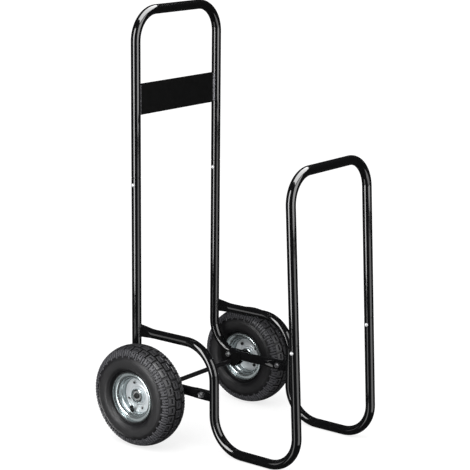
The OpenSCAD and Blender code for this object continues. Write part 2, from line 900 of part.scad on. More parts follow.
// One rim half, pressed from sheet, on the +Z side of the middle plane
module rim_half() {
    line = rim_line();
    difference() {
        rotate_extrude()
            polygon(concat(beside(line, rim_t / 2),
                reversed(beside(line, -rim_t / 2))));
        each_rim_bolt() translate([0, 0, -1])
            cylinder(d = rim_bolt_d + 2 * hole_gap, h = rim_t + 2);
    }
}

module each_rim_bolt() {
    for (i = [0:3]) rotate([0, 0, 45 + 90 * i])
        translate([rim_bolt_pcd / 2, 0, 0]) children();
}

// Where the valve passes through the well of the outer half; +Z points along
// the stem, towards the hub and outwards
valve_u = bead_u - 6;
module at_valve() {
    translate([well_d / 2, 0, valve_u]) rotate([0, valve_lean - 90, 0])
        children();
}

module rim_outer(side) {
    color("#c3cacb") in_wheel(side) difference() {
        rim_half();
        at_valve() cylinder(d = valve_d + 2 * hole_gap, h = valve_d + 2, center = true);
    }
}

module rim_inner(side) {
    color("#c3cacb") in_wheel(side) mirror([0, 0, 1]) rim_half();
}

// A sealed ball bearing from its inner face at 0 to its outer face
module bearing() {
    bore_r = axle_d / 2 + run_gap;
    outer_r = bearing_d / 2;
    race = 2.6;
    dip = 0.6;
    rotate_extrude() polygon([
        [bore_r, 0], [outer_r, 0], [outer_r, bearing_w],
        [outer_r - race, bearing_w], [outer_r - race, bearing_w - dip],
        [bore_r + race, bearing_w - dip], [bore_r + race, bearing_w],
        [bore_r, bearing_w]
    ]);
}

module bearings(side) {
    color("#3a3c3e") in_wheel(side) both_sides()
        translate([0, 0, bearing_gap / 2]) bearing();
}

module both_sides() {
    children();
    mirror([0, 0, 1]) children();
}

// Short ring that keeps the inner races of the two bearings apart
module bearing_ring(side) {
    color("#9fa4a7") in_wheel(side) translate([0, 0, -bearing_gap / 2])
        ring(ring_d, axle_d + 2 * run_gap, bearing_gap);
}

module rim_bolts(side) {
    length = 2 * rim_t + rim_nut_h + rim_bolt_over;
    color("#2a2b2d") in_wheel(side) each_rim_bolt()
        translate([0, 0, -rim_t])
            bolt(rim_bolt_d, rim_bolt_af, rim_head_h, length);
}

module rim_nuts(side) {
    color("#bcc2c4") in_wheel(side) each_rim_bolt()
        translate([0, 0, rim_t]) nut(rim_bolt_d, rim_bolt_af, rim_nut_h);
}

// Rubber stem from the inner tube through the rim; its root lies on the
// tube's curve, and its upper part is narrower inside the cap
module valve(side) {
    root = valve_d / 2;
    root_r = well_d / 2 + 2 * rubber_gap - 0.01;
    color("#161617") in_wheel(side) intersection() {
        at_valve() translate([0, 0, -root]) {
            cylinder(d = valve_d, h = root + valve_len - cap_over);
            cylinder(d = valve_stem_d, h = root + valve_len);
        }
        cylinder(r = root_r, h = 2 * flange_out);
    }
}

module valve_cap(side) {
    color("#0f0f10") in_wheel(side) at_valve()
        translate([0, 0, valve_len - cap_over]) difference() {
            cylinder(d = valve_cap_d, h = valve_cap_len);
            translate([0, 0, -1]) cylinder(d = valve_stem_d, h = 1 + cap_over);
        }
}

upper_handle();
handle_plate();
rear_post(left);  // rear_post_left
rear_post(right);  // rear_post_right
side_loop(left);  // side_loop_left
side_loop(right);  // side_loop_right
front_hoop();
handle_button(left);  // handle_button_left
handle_button(right);  // handle_button_right
hoop_button(left);  // hoop_button_left
hoop_button(right);  // hoop_button_right
handle_spring(left);  // handle_spring_left
handle_spring(right);  // handle_spring_right
hoop_spring(left);  // hoop_spring_left
hoop_spring(right);  // hoop_spring_right
arm_tab(left);  // arm_tab_left
arm_tab(right);  // arm_tab_right
arm_bolts();
arm_washers();
arm_nuts();
axle();
axle_bracket(left);  // axle_bracket_left
axle_bracket(right);  // axle_bracket_right
bracket_bolts();
bracket_nuts();
axle_spacer(left);  // axle_spacer_left
axle_spacer(right);  // axle_spacer_right
end_washers();
axle_cap(left);  // axle_cap_left
axle_cap(right);  // axle_cap_right
tyre(left);  // tyre_left
tyre(right);  // tyre_right
inner_tube(left);  // inner_tube_left
inner_tube(right);  // inner_tube_right
rim_outer(left);  // rim_outer_left
rim_outer(right);  // rim_outer_right
rim_inner(left);  // rim_inner_left
rim_inner(right);  // rim_inner_right
bearings(left);  // bearings_left
bearings(right);  // bearings_right
bearing_ring(left);  // bearing_ring_left
bearing_ring(right);  // bearing_ring_right
rim_bolts(left);  // rim_bolts_left
rim_bolts(right);  // rim_bolts_right
rim_nuts(left);  // rim_nuts_left
rim_nuts(right);  // rim_nuts_right
valve(left);  // valve_left
valve(right);  // valve_right
valve_cap(left);  // valve_cap_left
valve_cap(right);  // valve_cap_right
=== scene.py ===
# Fireside log cart: a hand truck of bent black tube on two pneumatic wheels.
# Lengths are in metres, +Z is up, and -Y is the front, where the short hoop stands.
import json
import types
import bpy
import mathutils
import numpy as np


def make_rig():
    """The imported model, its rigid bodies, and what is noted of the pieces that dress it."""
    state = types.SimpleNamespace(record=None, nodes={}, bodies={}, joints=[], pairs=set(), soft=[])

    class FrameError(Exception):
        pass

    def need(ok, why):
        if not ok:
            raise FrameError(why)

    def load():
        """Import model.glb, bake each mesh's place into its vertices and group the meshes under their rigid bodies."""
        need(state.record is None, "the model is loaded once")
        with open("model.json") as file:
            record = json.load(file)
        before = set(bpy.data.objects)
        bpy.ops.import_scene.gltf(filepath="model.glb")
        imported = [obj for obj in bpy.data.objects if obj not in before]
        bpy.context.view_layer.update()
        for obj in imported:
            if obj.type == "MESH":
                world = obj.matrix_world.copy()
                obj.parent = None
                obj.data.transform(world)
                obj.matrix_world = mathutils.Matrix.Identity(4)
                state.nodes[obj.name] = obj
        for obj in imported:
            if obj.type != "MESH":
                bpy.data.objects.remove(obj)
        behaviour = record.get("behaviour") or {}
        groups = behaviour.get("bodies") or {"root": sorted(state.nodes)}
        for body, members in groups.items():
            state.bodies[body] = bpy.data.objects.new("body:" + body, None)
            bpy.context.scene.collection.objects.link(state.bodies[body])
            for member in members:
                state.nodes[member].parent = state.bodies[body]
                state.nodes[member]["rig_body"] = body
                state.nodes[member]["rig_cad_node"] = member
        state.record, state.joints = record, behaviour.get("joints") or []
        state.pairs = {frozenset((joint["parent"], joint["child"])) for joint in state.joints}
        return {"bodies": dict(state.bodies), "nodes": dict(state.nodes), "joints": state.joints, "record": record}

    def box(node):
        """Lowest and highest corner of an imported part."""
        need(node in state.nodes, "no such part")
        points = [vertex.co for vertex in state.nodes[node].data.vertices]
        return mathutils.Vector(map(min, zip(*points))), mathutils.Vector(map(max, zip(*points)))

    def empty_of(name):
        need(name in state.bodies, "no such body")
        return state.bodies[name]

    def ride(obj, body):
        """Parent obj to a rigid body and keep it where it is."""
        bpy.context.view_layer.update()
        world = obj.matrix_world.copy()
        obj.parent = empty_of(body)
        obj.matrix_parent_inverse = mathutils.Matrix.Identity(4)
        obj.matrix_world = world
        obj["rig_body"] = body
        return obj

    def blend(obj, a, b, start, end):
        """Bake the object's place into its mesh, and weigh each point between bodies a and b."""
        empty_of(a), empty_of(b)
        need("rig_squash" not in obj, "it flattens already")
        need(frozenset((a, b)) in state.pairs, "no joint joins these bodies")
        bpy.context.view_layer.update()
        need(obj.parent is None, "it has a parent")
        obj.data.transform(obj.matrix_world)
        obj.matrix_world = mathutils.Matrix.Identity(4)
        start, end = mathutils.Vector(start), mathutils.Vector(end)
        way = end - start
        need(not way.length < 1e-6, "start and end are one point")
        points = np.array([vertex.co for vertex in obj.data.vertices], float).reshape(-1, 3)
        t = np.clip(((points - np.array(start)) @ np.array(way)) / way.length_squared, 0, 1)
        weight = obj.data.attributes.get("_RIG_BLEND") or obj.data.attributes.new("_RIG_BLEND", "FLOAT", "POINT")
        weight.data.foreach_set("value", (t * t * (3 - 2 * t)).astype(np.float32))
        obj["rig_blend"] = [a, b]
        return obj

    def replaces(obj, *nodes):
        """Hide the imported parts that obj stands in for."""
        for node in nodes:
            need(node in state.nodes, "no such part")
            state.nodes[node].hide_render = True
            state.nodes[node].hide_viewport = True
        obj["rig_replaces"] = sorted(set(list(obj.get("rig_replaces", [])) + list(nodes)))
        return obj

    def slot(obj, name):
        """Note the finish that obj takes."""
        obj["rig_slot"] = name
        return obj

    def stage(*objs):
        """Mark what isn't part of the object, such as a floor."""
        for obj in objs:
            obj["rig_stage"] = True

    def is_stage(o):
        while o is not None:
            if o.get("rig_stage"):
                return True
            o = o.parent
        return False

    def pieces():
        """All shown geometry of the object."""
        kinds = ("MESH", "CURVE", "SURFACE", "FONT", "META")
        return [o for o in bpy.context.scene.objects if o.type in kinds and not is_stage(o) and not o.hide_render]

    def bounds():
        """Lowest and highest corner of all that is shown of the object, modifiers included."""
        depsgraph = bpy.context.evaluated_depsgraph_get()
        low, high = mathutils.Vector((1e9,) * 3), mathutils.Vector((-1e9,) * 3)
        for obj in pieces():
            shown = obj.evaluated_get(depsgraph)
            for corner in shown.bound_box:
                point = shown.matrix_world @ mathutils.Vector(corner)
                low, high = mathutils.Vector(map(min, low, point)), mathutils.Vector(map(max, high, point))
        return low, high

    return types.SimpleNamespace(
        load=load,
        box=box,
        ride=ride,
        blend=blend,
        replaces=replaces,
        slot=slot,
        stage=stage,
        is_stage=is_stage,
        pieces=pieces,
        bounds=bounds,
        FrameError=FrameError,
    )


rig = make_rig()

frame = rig.load()
cad_box = [list(corner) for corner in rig.bounds()]

import json
import math
import bmesh
import bpy
from mathutils import Vector


# ------------------------------------------------------------- rear posts
# Each rear post is one length of round steel tube. It stands up from a wide
# bend, and below the bend it runs forward as the lower arm, whose end is
# pressed flat. The post and all the other tubes are powder coated gloss black.
mm = 0.001
tube_r = 12 * mm
tube_wall = 1.5 * mm
side_bend_r = 87 * mm
rear_lean = math.radians(0.7)
upper_arm_h = 272 * mm
handle_joint_h = 667 * mm
press_taper = 34 * mm
press_flat = 33 * mm
press_half_h = 14 * mm
press_half_w = 5 * mm
post_to_loop = 254 * mm
button_r = 4.5 * mm
button_drop = 17.5 * mm
# A tube ends in these steps below a push-in joint: the button's hole falls in the middle one.
joint_steps = [("go", 14 * mm), ("go", 18 * mm), ("go", 8 * mm)]
joint_run = sum(length for move, length in joint_steps)

axle_low, axle_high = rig.box("axle")
axle_y = (axle_low.y + axle_high.y) / 2
axle_h = (axle_low.z + axle_high.z) / 2
lower_arm_h = axle_h + 15.5 * mm
half_frame = (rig.box("upper_handle")[1].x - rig.box("upper_handle")[0].x) / 2 - tube_r
post_y = axle_y + 66 * mm
loop_y = post_y - post_to_loop
arm_end_y = loop_y + tube_r + 1.2 * mm
handle_joint_y = post_y - math.tan(rear_lean) * (handle_joint_h - upper_arm_h)


def smooth(t):
    """0 to 1 with a soft start and end."""
    t = max(0.0, min(1.0, t))
    return t * t * (3 - 2 * t)


def route(start, heading, moves, step=math.radians(3)):
    """Points (a, b, heading) along straights ("go", length) and bends ("turn", radius, angle)."""
    a, b = start
    points = [(a, b, heading)]
    for move in moves:
        if move[0] == "go":
            a += move[1] * math.cos(heading)
            b += move[1] * math.sin(heading)
            points.append((a, b, heading))
            continue
        radius, angle = move[1], move[2]
        count = max(2, math.ceil(abs(angle) / step))
        for i in range(count):
            turn = angle / count
            chord = 2 * radius * math.sin(abs(turn) / 2)
            a += chord * math.cos(heading + turn / 2)
            b += chord * math.sin(heading + turn / 2)
            heading += turn
            points.append((a, b, heading))
    return points


def stations(points, place):
    """Turns route points into [centre, normal, half height, half width] with place(a, b) -> Vector."""
    origin = place(0, 0)
    out = []
    for a, b, heading in points:
        normal = place(-math.sin(heading), math.cos(heading)) - origin
        out.append([place(a, b), normal.normalized(), tube_r, tube_r])
    return out


def ring_faces(rings, count):
    """Faces between rings of vertices, each closed, with the last ring joined to the first."""
    faces = []
    for k in range(rings):
        here, there = k * count, ((k + 1) % rings) * count
        for i in range(count):
            j = (i + 1) % count
            faces.append((here + i, here + j, there + j, there + i))
    return faces


def mesh_piece(name, vertices, faces, sharp=35, wear=None):
    """A shaded object from vertices and faces, with edges sharper than that angle kept crisp."""
    mesh = bpy.data.meshes.new(name)
    mesh.from_pydata([tuple(v) for v in vertices], [], faces)
    if wear:
        mesh.attributes.new("wear", "FLOAT", "POINT").data.foreach_set("value", wear)
    work = bmesh.new()
    work.from_mesh(mesh)
    bmesh.ops.remove_doubles(work, verts=work.verts, dist=1e-6)
    bmesh.ops.recalc_face_normals(work, faces=work.faces)
    work.to_mesh(mesh)
    work.free()
    mesh.shade_smooth()
    mesh.set_sharp_from_angle(angle=math.radians(sharp))
    piece = bpy.data.objects.new(name, mesh)
    bpy.context.scene.collection.objects.link(piece)
    return piece


def tube_piece(name, across, rows, facets=48, edge=0.3 * mm):
    """A hollow tube swept along stations; across is the direction square to its plane."""
    vertices = []
    along_first = (rows[1][0] - rows[0][0]).normalized()
    along_last = (rows[-1][0] - rows[-2][0]).normalized()
    outer = [list(row) for row in rows]
    outer.insert(1, [outer[0][0] + along_first * edge] + outer[0][1:])
    outer.insert(-1, [outer[-1][0] - along_last * edge] + outer[-1][1:])
    for row in (outer[0], outer[-1]):
        row[2] -= edge
        row[3] -= edge
    inner = [[row[0], row[1], row[2] - tube_wall, row[3] - tube_wall] for row in reversed(rows)]
    for centre, normal, half_h, half_w in outer + inner:
        for i in range(facets):
            t = 2 * math.pi * (i + 0.5) / facets
            flat = (half_h - half_w) * (1 if i < facets / 2 else -1)
            vertices.append(centre + normal * (flat + half_w * math.sin(t)) + across * half_w * math.cos(t))
    return mesh_piece(name, vertices, ring_faces(len(outer + inner), facets))


def around(origin, axis, start):
    """Placer for turned pieces: r out from the axis, t the angle from start, u along the axis."""
    turn = axis.cross(start)

    def put(r, t, u):
        return origin + axis * u + (start * math.cos(t) + turn * math.sin(t)) * r
    return put


def turned(name, put, outline, steps=72, shape=None, sharp=35):
    """A closed outline of (radius, distance along the axis) turned round an axis."""
    vertices = []
    for k in range(steps):
        t = 2 * math.pi * k / steps
        for r, u in outline:
            if shape:
                r, u = shape(r, u, t)
            vertices.append(put(r, t, u))
    return mesh_piece(name, vertices, ring_faces(steps, len(outline)), sharp)


def drilled(piece, put, radius, depth):
    """Drills a round hole along put's axis, that far to both sides of its origin."""
    bit = turned("bit", put, [(0, -depth), (radius, -depth), (radius, depth), (0, depth)], 36)
    hole = piece.modifiers.new("hole", "BOOLEAN")
    hole.object = bit
    bpy.context.view_layer.update()
    cut = bpy.data.meshes.new_from_object(piece.evaluated_get(bpy.context.evaluated_depsgraph_get()))
    piece.modifiers.clear()
    piece.data = cut
    cut.shade_smooth()
    cut.set_sharp_from_angle(angle=math.radians(35))
    bpy.data.objects.remove(bit)


def plug(node, **sockets):
    """Sets a node's inputs, and links those whose value is another node's output."""
    for key, value in sockets.items():
        socket = node.inputs[key.replace("_", " ").title().replace("Ior", "IOR")]
        if isinstance(value, bpy.types.NodeSocket):
            node.id_data.links.new(value, socket)
        else:
            socket.default_value = value
    return node


class Finish:
    """A small helper that lays out the nodes of one material."""

    def __init__(self, name):
        self.material = bpy.data.materials.new(name)
        self.material.use_nodes = True
        self.tree = self.material.node_tree
        self.shader = self.tree.nodes["Principled BSDF"]
        self.place = self.tree.nodes.new("ShaderNodeTexCoord").outputs["Object"]

    def noise(self, scale, detail, roughness=0.5):
        node = self.tree.nodes.new("ShaderNodeTexNoise")
        plug(node, vector=self.place, scale=scale, detail=detail, roughness=roughness)
        return node.outputs["Fac"]

    def ramp(self, source, low, high, start, end):
        node = self.tree.nodes.new("ShaderNodeMapRange")
        plug(node, value=source, from_min=low, from_max=high, to_min=start, to_max=end)
        return node.outputs["Result"]

    def colours(self, source, low, high):
        node = self.tree.nodes.new("ShaderNodeValToRGB")
        for element, at, colour in zip(node.color_ramp.elements, (0.3, 0.7), (low, high)):
            element.position = at
            element.color = (*colour, 1)
        return plug(node, fac=source).outputs["Color"]

    def bump(self, source, depth, strength):
        node = self.tree.nodes.new("ShaderNodeBump")
        plug(node, strength=strength, distance=depth, height=source)
        plug(self.shader, normal=node.outputs["Normal"])

    def set(self, **sockets):
        plug(self.shader, **sockets)


def uneven_finish(name, tint, dark, pale, sheen, roughness, dents, depth, strength, **sockets):
    """A material whose colour, gloss and fine relief vary with three noises, each a (scale, detail)."""
    made = Finish(name)
    made.set(base_color=made.colours(made.noise(*tint), dark, pale),
             roughness=made.ramp(made.noise(*sheen), 0.3, 0.7, *roughness), **sockets)
    made.bump(made.noise(*dents), depth, strength)
    return made


gloss_black = uneven_finish(
    "gloss black powder coat", tint=(38, 4), dark=(0.0030, 0.0030, 0.0034), pale=(0.0046, 0.0046, 0.0052),
    sheen=(95, 6), roughness=(0.08, 0.13), dents=(110, 2), depth=0.02 * mm, strength=0.2,
    coat_weight=0.6, coat_roughness=0.04, ior=1.5)


def dress(piece, finish, slot, body, *nodes):
    """Gives a piece its material, slot and body; it stands for those CAD nodes."""
    piece.data.materials.clear()
    piece.data.materials.append(finish.material)
    if body:
        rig.ride(piece, body)
    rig.slot(piece, slot)
    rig.replaces(piece, *nodes)


def pressed_size(along, flat, taper, half_h, half_w):
    """Half height and half width of a tube that is pressed at its start."""
    t = smooth((along - flat) / taper)
    return half_h + (tube_r - half_h) * t, half_w + (tube_r - half_w) * t


def leant(joint_y, joint_h, lean):
    """Placer for the frame of a leaning joint: a along X, b up the tube, c square to both."""
    up = Vector((0, -math.sin(lean), math.cos(lean)))
    back = Vector((0, math.cos(lean), math.sin(lean)))

    def put(a, b, c=0.0):
        return Vector((a, joint_y, joint_h)) + up * b + back * c
    return put


def button_axis(put, sign):
    """Placer round a snap button's axis, which points to -X on both sides."""
    return around(put(sign * half_frame, -button_drop), Vector((-1, 0, 0)), (put(0, 0, 1) - put(0, 0)))


def button_hole(piece, put, sign):
    """Drills the button's hole through the tube's wall on its -X side."""
    at_wall = button_axis(put, sign)(0, 0, tube_r)
    drilled(piece, around(at_wall, Vector((-1, 0, 0)), Vector((0, 1, 0))), button_r + 0.2 * mm, 5 * mm)


handle_put = leant(handle_joint_y, handle_joint_h, rear_lean)
sides = {"left": -1, "right": 1}
across = Vector((1, 0, 0))
bend_reach = side_bend_r * math.tan((math.pi / 2 + rear_lean) / 2)
rear_corner_y = post_y + math.tan(rear_lean) * (upper_arm_h - lower_arm_h)
arm_bend_y = rear_corner_y - bend_reach
post_len = (handle_joint_h - lower_arm_h) / math.cos(rear_lean) - bend_reach
pressing = [("go", press_flat / 3)] * 3 + [("go", press_taper / 10)] * 10
arm_len = arm_bend_y - arm_end_y - press_flat - press_taper

for side, sign in sides.items():
    def on_side(a, b):
        return Vector((sign * half_frame, a, b))

    points = route((arm_end_y, lower_arm_h), 0, pressing + [
        ("go", arm_len), ("turn", side_bend_r, math.pi / 2 + rear_lean),
        ("go", post_len - joint_run)] + joint_steps)
    rows = stations(points, on_side)
    for row in rows[:len(pressing) + 1]:
        along = row[0].y - arm_end_y
        row[2], row[3] = pressed_size(along, press_flat, press_taper, press_half_h, press_half_w)
    post = tube_piece("rear_post_tube_" + side, across, rows)
    button_hole(post, handle_put, sign)
    dress(post, gloss_black, "tube_gloss_black", "frame", "rear_post_" + side)


# ------------------------------------------------------------- side loops
# Each side loop is one tube too: the upper arm, the upright, the floor run and
# the front post. Its rear end is pressed tall and narrow and welded all round
# to the rear post, and the weld is coated with the rest.
toe_bend_r = 82 * mm
front_lean = math.radians(2.3)
hoop_joint_h = 325 * mm
post_to_toe = 511 * mm
weld_start = 10.8 * mm
weld_end_len = 49.2 * mm
weld_half_h = 16.5 * mm
weld_half_w = 4 * mm
weld_lift = 1.5 * mm
weld_step = 0.6 * mm
toe_y = post_y - post_to_toe
toe_reach = toe_bend_r * math.tan((math.pi / 2 + front_lean) / 2)
hoop_joint_y = toe_y + math.tan(front_lean) * (hoop_joint_h - tube_r)
hoop_put = leant(hoop_joint_y, hoop_joint_h, -front_lean)


def weld_bead(name, path, radius, facing, closed=False, ripple=2.4 * mm):
    """A rippled bead of weld along a path, half sunk in the metal on either side."""
    points = []
    for start, end in zip(path, path[1:] + path[:1] if closed else path[1:]):
        count = max(1, round((end - start).length / weld_step))
        points += [start.lerp(end, i / count) for i in range(count)]
    if not closed:
        points.append(path[-1])
    vertices, count, facets = [], len(points), 10
    for i, point in enumerate(points):
        before = points[i - 1] if closed or i else point
        after = points[(i + 1) % count] if closed or i < count - 1 else point
        along = (after - before).normalized()
        outwards = (facing(point) - along * facing(point).dot(along)).normalized()
        beside = along.cross(outwards)
        r = radius * (1 + 0.16 * math.sin(2 * math.pi * i * weld_step / ripple) + 0.08 * math.sin(i * 0.37))
        if not closed:
            r *= math.sqrt(max(0.0, min(1.0, i / 3, (count - 1 - i) / 3)))
        for k in range(facets):
            t = 2 * math.pi * k / facets
            vertices.append(point + (outwards * math.cos(t) + beside * math.sin(t)) * r)
    faces = ring_faces(count, facets)
    return mesh_piece(name, vertices, faces if closed else faces[:-facets], 80)


weld_end = [("go", weld_end_len / 12)] * 12
hoop_post_len = (hoop_joint_h - tube_r) / math.cos(front_lean) - toe_reach
for side, sign in sides.items():
    def on_loop(a, b):
        return Vector((sign * half_frame, -a, b))

    points = route((weld_start - post_y, upper_arm_h), 0, weld_end + [
        ("go", post_to_loop - side_bend_r - weld_start - weld_end_len),
        ("turn", side_bend_r, -math.pi / 2), ("go", upper_arm_h - tube_r - 2 * side_bend_r),
        ("turn", side_bend_r, math.pi / 2), ("go", post_to_toe - post_to_loop - side_bend_r - toe_reach),
        ("turn", toe_bend_r, math.pi / 2 + front_lean), ("go", hoop_post_len - joint_run)] + joint_steps)
    rows = stations(points, on_loop)
    for row in rows[:len(weld_end) + 1]:
        along = post_y - weld_start - row[0].y
        row[2], row[3] = pressed_size(along, 0, weld_end_len, weld_half_h, weld_half_w)
        row[0] = row[0] + Vector((0, 0, weld_lift * (1 - smooth(along / weld_end_len))))
    loop = tube_piece("side_loop_tube_" + side, across, rows)
    button_hole(loop, hoop_put, sign)
    dress(loop, gloss_black, "tube_gloss_black", "frame", "side_loop_" + side)

    path = []
    for i in range(40):
        t = 2 * math.pi * i / 40
        x = weld_half_w * math.cos(t)
        z = (weld_half_h - weld_half_w) * (1 if math.sin(t) > 0 else -1) + weld_half_w * math.sin(t)
        back = post_y - math.tan(rear_lean) * z - math.sqrt(tube_r ** 2 - x ** 2)
        path.append(Vector((sign * half_frame + x, back, upper_arm_h + weld_lift + z)))
    middle = sum(path, Vector()) / len(path)
    forwards = Vector((0, -4 * mm, 0))
    bead = weld_bead("upper_arm_weld_" + side, path, 1.9 * mm, lambda p: p - middle + forwards, True)
    dress(bead, gloss_black, "tube_gloss_black", "frame")


# ----------------------------------------------------- handle and front hoop
# The tall handle and the short hoop are tubes bent to an upside-down U. Each
# foot is swaged down behind a small shoulder and pushed into the tube below,
# which leaves a dark line round the joint, and is drilled for its snap button.
handle_h = 1092 * mm
handle_bend_r = 74 * mm
hoop_h = 744 * mm
hoop_bend_r = 75 * mm
insert_r = 10.4 * mm
insert_len = 56 * mm


def tube_u(name, put, rise, bend_r):
    """An upside-down U of tube that rises from a joint, with both feet narrowed below it."""
    foot = 2.4 * mm
    points = route((-half_frame, foot), math.pi / 2, [
        ("go", rise - bend_r - foot), ("turn", bend_r, -math.pi / 2),
        ("go", 2 * (half_frame - bend_r)), ("turn", bend_r, -math.pi / 2),
        ("go", rise - bend_r - foot)])
    rows = stations(points, put)
    down = put(0, 0) - put(0, 1)
    narrowing = [(0, tube_r), (0.6 * mm, tube_r - 0.5 * mm), (0.9 * mm, insert_r), (12 * mm, insert_r),
                 (28 * mm, insert_r), (insert_len, insert_r)]

    def narrowed(end):
        return [[end[0] + down * drop, end[1], r, r] for drop, r in narrowing[1:]]
    piece = tube_piece(name, put(0, 0, 1) - put(0, 0), narrowed(rows[0])[::-1] + rows + narrowed(rows[-1]))
    for sign in sides.values():
        button_hole(piece, put, sign)
    return piece


handle_rise = (handle_h - tube_r - handle_joint_h) / math.cos(rear_lean)
handle = tube_u("handle_tube", handle_put, handle_rise, handle_bend_r)
dress(handle, gloss_black, "tube_gloss_black", "frame", "upper_handle")
hoop_rise = (hoop_h - tube_r - hoop_joint_h) / math.cos(front_lean)
hoop = tube_u("hoop_tube", hoop_put, hoop_rise, hoop_bend_r)
dress(hoop, gloss_black, "tube_gloss_black", "frame", "front_hoop")


# ------------------------------------------------------------ handle plate
# A strip of sheet steel between the handle's legs, with its edges broken. A
# bead of weld down each end, front and back, holds it. The plate and beads are
# coated, the plate in a flatter black than the tubes; the beads are dark with
# pale specks, painted highlights that stand in for glints on their lumps.
plate_t = 3 * mm
plate_h = 78 * mm
plate_low_h = 823 * mm
plate_rise = (plate_low_h - handle_joint_h) / math.cos(rear_lean)
plate_end = half_frame - 11.4 * mm
plate_weld_x = half_frame - 12.4 * mm
plate_weld_c = 2.6 * mm
plate_weld_r = 3.2 * mm


def beside(line, d, closed=False):
    """The line moved sideways by d, to its left."""
    count, out = len(line), []
    for i in range(count):
        here = Vector(line[i])
        before = Vector(line[i - 1] if closed or i else line[0])
        after = Vector(line[(i + 1) % count] if closed or i < count - 1 else line[-1])
        edges = [edge for edge in (here - before, after - here) if edge.length > 1e-9]
        normals = [Vector((-edge.y, edge.x)).normalized() for edge in edges]
        middle = sum(normals, Vector((0, 0))).normalized()
        out.append(tuple(here + middle * d / max(0.5, middle.dot(normals[0]))))
    return out


def sheet_piece(name, outline, thickness, put, edge=0.4 * mm):
    """A plate cut to an outline of (a, b), with broken edges; put(a, b, c) has c through the sheet."""
    inset = beside(outline, edge, True)
    vertices = []
    for line, c in ((inset, -thickness / 2), (outline, edge - thickness / 2),
                    (outline, thickness / 2 - edge), (inset, thickness / 2)):
        vertices += [put(a, b, c) for a, b in line]
    count = len(outline)
    faces = ring_faces(4, count)[:-count] + [tuple(range(count)), tuple(range(3 * count, 4 * count))]
    return mesh_piece(name, vertices, faces, 30)


satin_black = uneven_finish(
    "satin black powder coat", tint=(60, 4), dark=(0.0030, 0.0030, 0.0030), pale=(0.0050, 0.0050, 0.0052),
    sheen=(150, 6), roughness=(0.36, 0.48), dents=(900, 3), depth=0.04 * mm, strength=0.6,
    specular_ior_level=0.16)

# Pale specks on a dark grain are painted highlights for glints on the lumps of the bead, which shows no reflections.
weld_grain_and_glints = uneven_finish(
    "coated weld bead", tint=(420, 6, 0.7), dark=(0.02, 0.02, 0.02), pale=(0.62, 0.62, 0.66),
    sheen=(600, 5), roughness=(0.2, 0.4), dents=(700, 4), depth=0.3 * mm, strength=0.8, metallic=0.3)

plate_top = plate_rise + plate_h
corners = [(-plate_end, plate_rise), (plate_end, plate_rise),
           (plate_end, plate_top), (-plate_end, plate_top)]
plate = sheet_piece("handle_plate_sheet", corners, plate_t, handle_put)
dress(plate, satin_black, "plate_satin_black", "frame", "handle_plate")
plate.visible_glossy = False
for side, sign in sides.items():
    for face, c in (("front", -1), ("back", 1)):
        path = [handle_put(sign * plate_weld_x, plate_rise + b, c * plate_weld_c)
                for b in (2 * mm, plate_h / 2, plate_h - 2 * mm)]
        away = handle_put(-sign, 0, c) - handle_put(0, 0, 0)
        bead = weld_bead("plate_weld_%s_%s" % (side, face), path, plate_weld_r, lambda p: away)
        dress(bead, weld_grain_and_glints, "plate_satin_black", "frame")
        bead.visible_glossy = False


# ------------------------------------------------------------ snap buttons
# A domed steel pin in each foot of the handle and the hoop snaps out through
# both tubes. Its flange stays inside, and bright polish covers its head.
button_tip = tube_r + 3.6 * mm
dome_h = 3.2 * mm
ball_r = (button_r ** 2 + dome_h ** 2) / (2 * dome_h)
flange_r = 5.7 * mm
flange_t = 1 * mm
insert_bore_r = insert_r - tube_wall
flange_seat = math.sqrt(insert_bore_r ** 2 - flange_r ** 2) - 0.1 * mm


def arc(x, y, r, start, end, count):
    """Points of an arc round (x, y), its angles in degrees."""
    angles = [math.radians(start + (end - start) * i / count) for i in range(count + 1)]
    return [(x + r * math.cos(t), y + r * math.sin(t)) for t in angles]


polished_steel = uneven_finish(
    "polished steel", tint=(300, 4), dark=(0.82, 0.83, 0.84), pale=(0.92, 0.93, 0.94),
    sheen=(700, 4), roughness=(0.16, 0.3), dents=(900, 2), depth=0.02 * mm, strength=0.4, metallic=0.2)

dome_from = math.degrees(math.asin(button_r / ball_r))
button_outline = ([(0, flange_seat - flange_t), (flange_r - 0.2 * mm, flange_seat - flange_t),
                   (flange_r, flange_seat - 0.8 * mm), (flange_r, flange_seat), (button_r, flange_seat)]
                  + arc(0, button_tip - ball_r, ball_r, 90 - dome_from, 90, 10))
joints = {"handle": handle_put, "hoop": hoop_put}
for joint, put in joints.items():
    for side, sign in sides.items():
        button = turned("%s_button_pin_%s" % (joint, side), button_axis(put, sign), button_outline, 48)
        body = "%s_button_%s" % (joint, side)
        dress(button, polished_steel, "button_steel", body, body)


# ------------------------------------------------------------ button springs
# Each pin is pushed out by a hairpin of spring strip inside the tube. One leg
# bears on the flange, the other on the far wall, and it closes as the pin goes in.
spring_t = 0.8 * mm
spring_w = 8 * mm
spring_far = math.sqrt(insert_bore_r ** 2 - (spring_w / 2) ** 2) - 0.1 * mm
spring_near = flange_t - flange_seat
spring_r = (spring_far - spring_near) / 2
spring_leg = insert_len - button_drop - spring_r - 4 * mm

spring_steel = uneven_finish(
    "spring strip", tint=(240, 5), dark=(0.32, 0.33, 0.35), pale=(0.44, 0.45, 0.47),
    sheen=(600, 4), roughness=(0.28, 0.42), dents=(1200, 2), depth=0.02 * mm, strength=0.4, metallic=0.9)

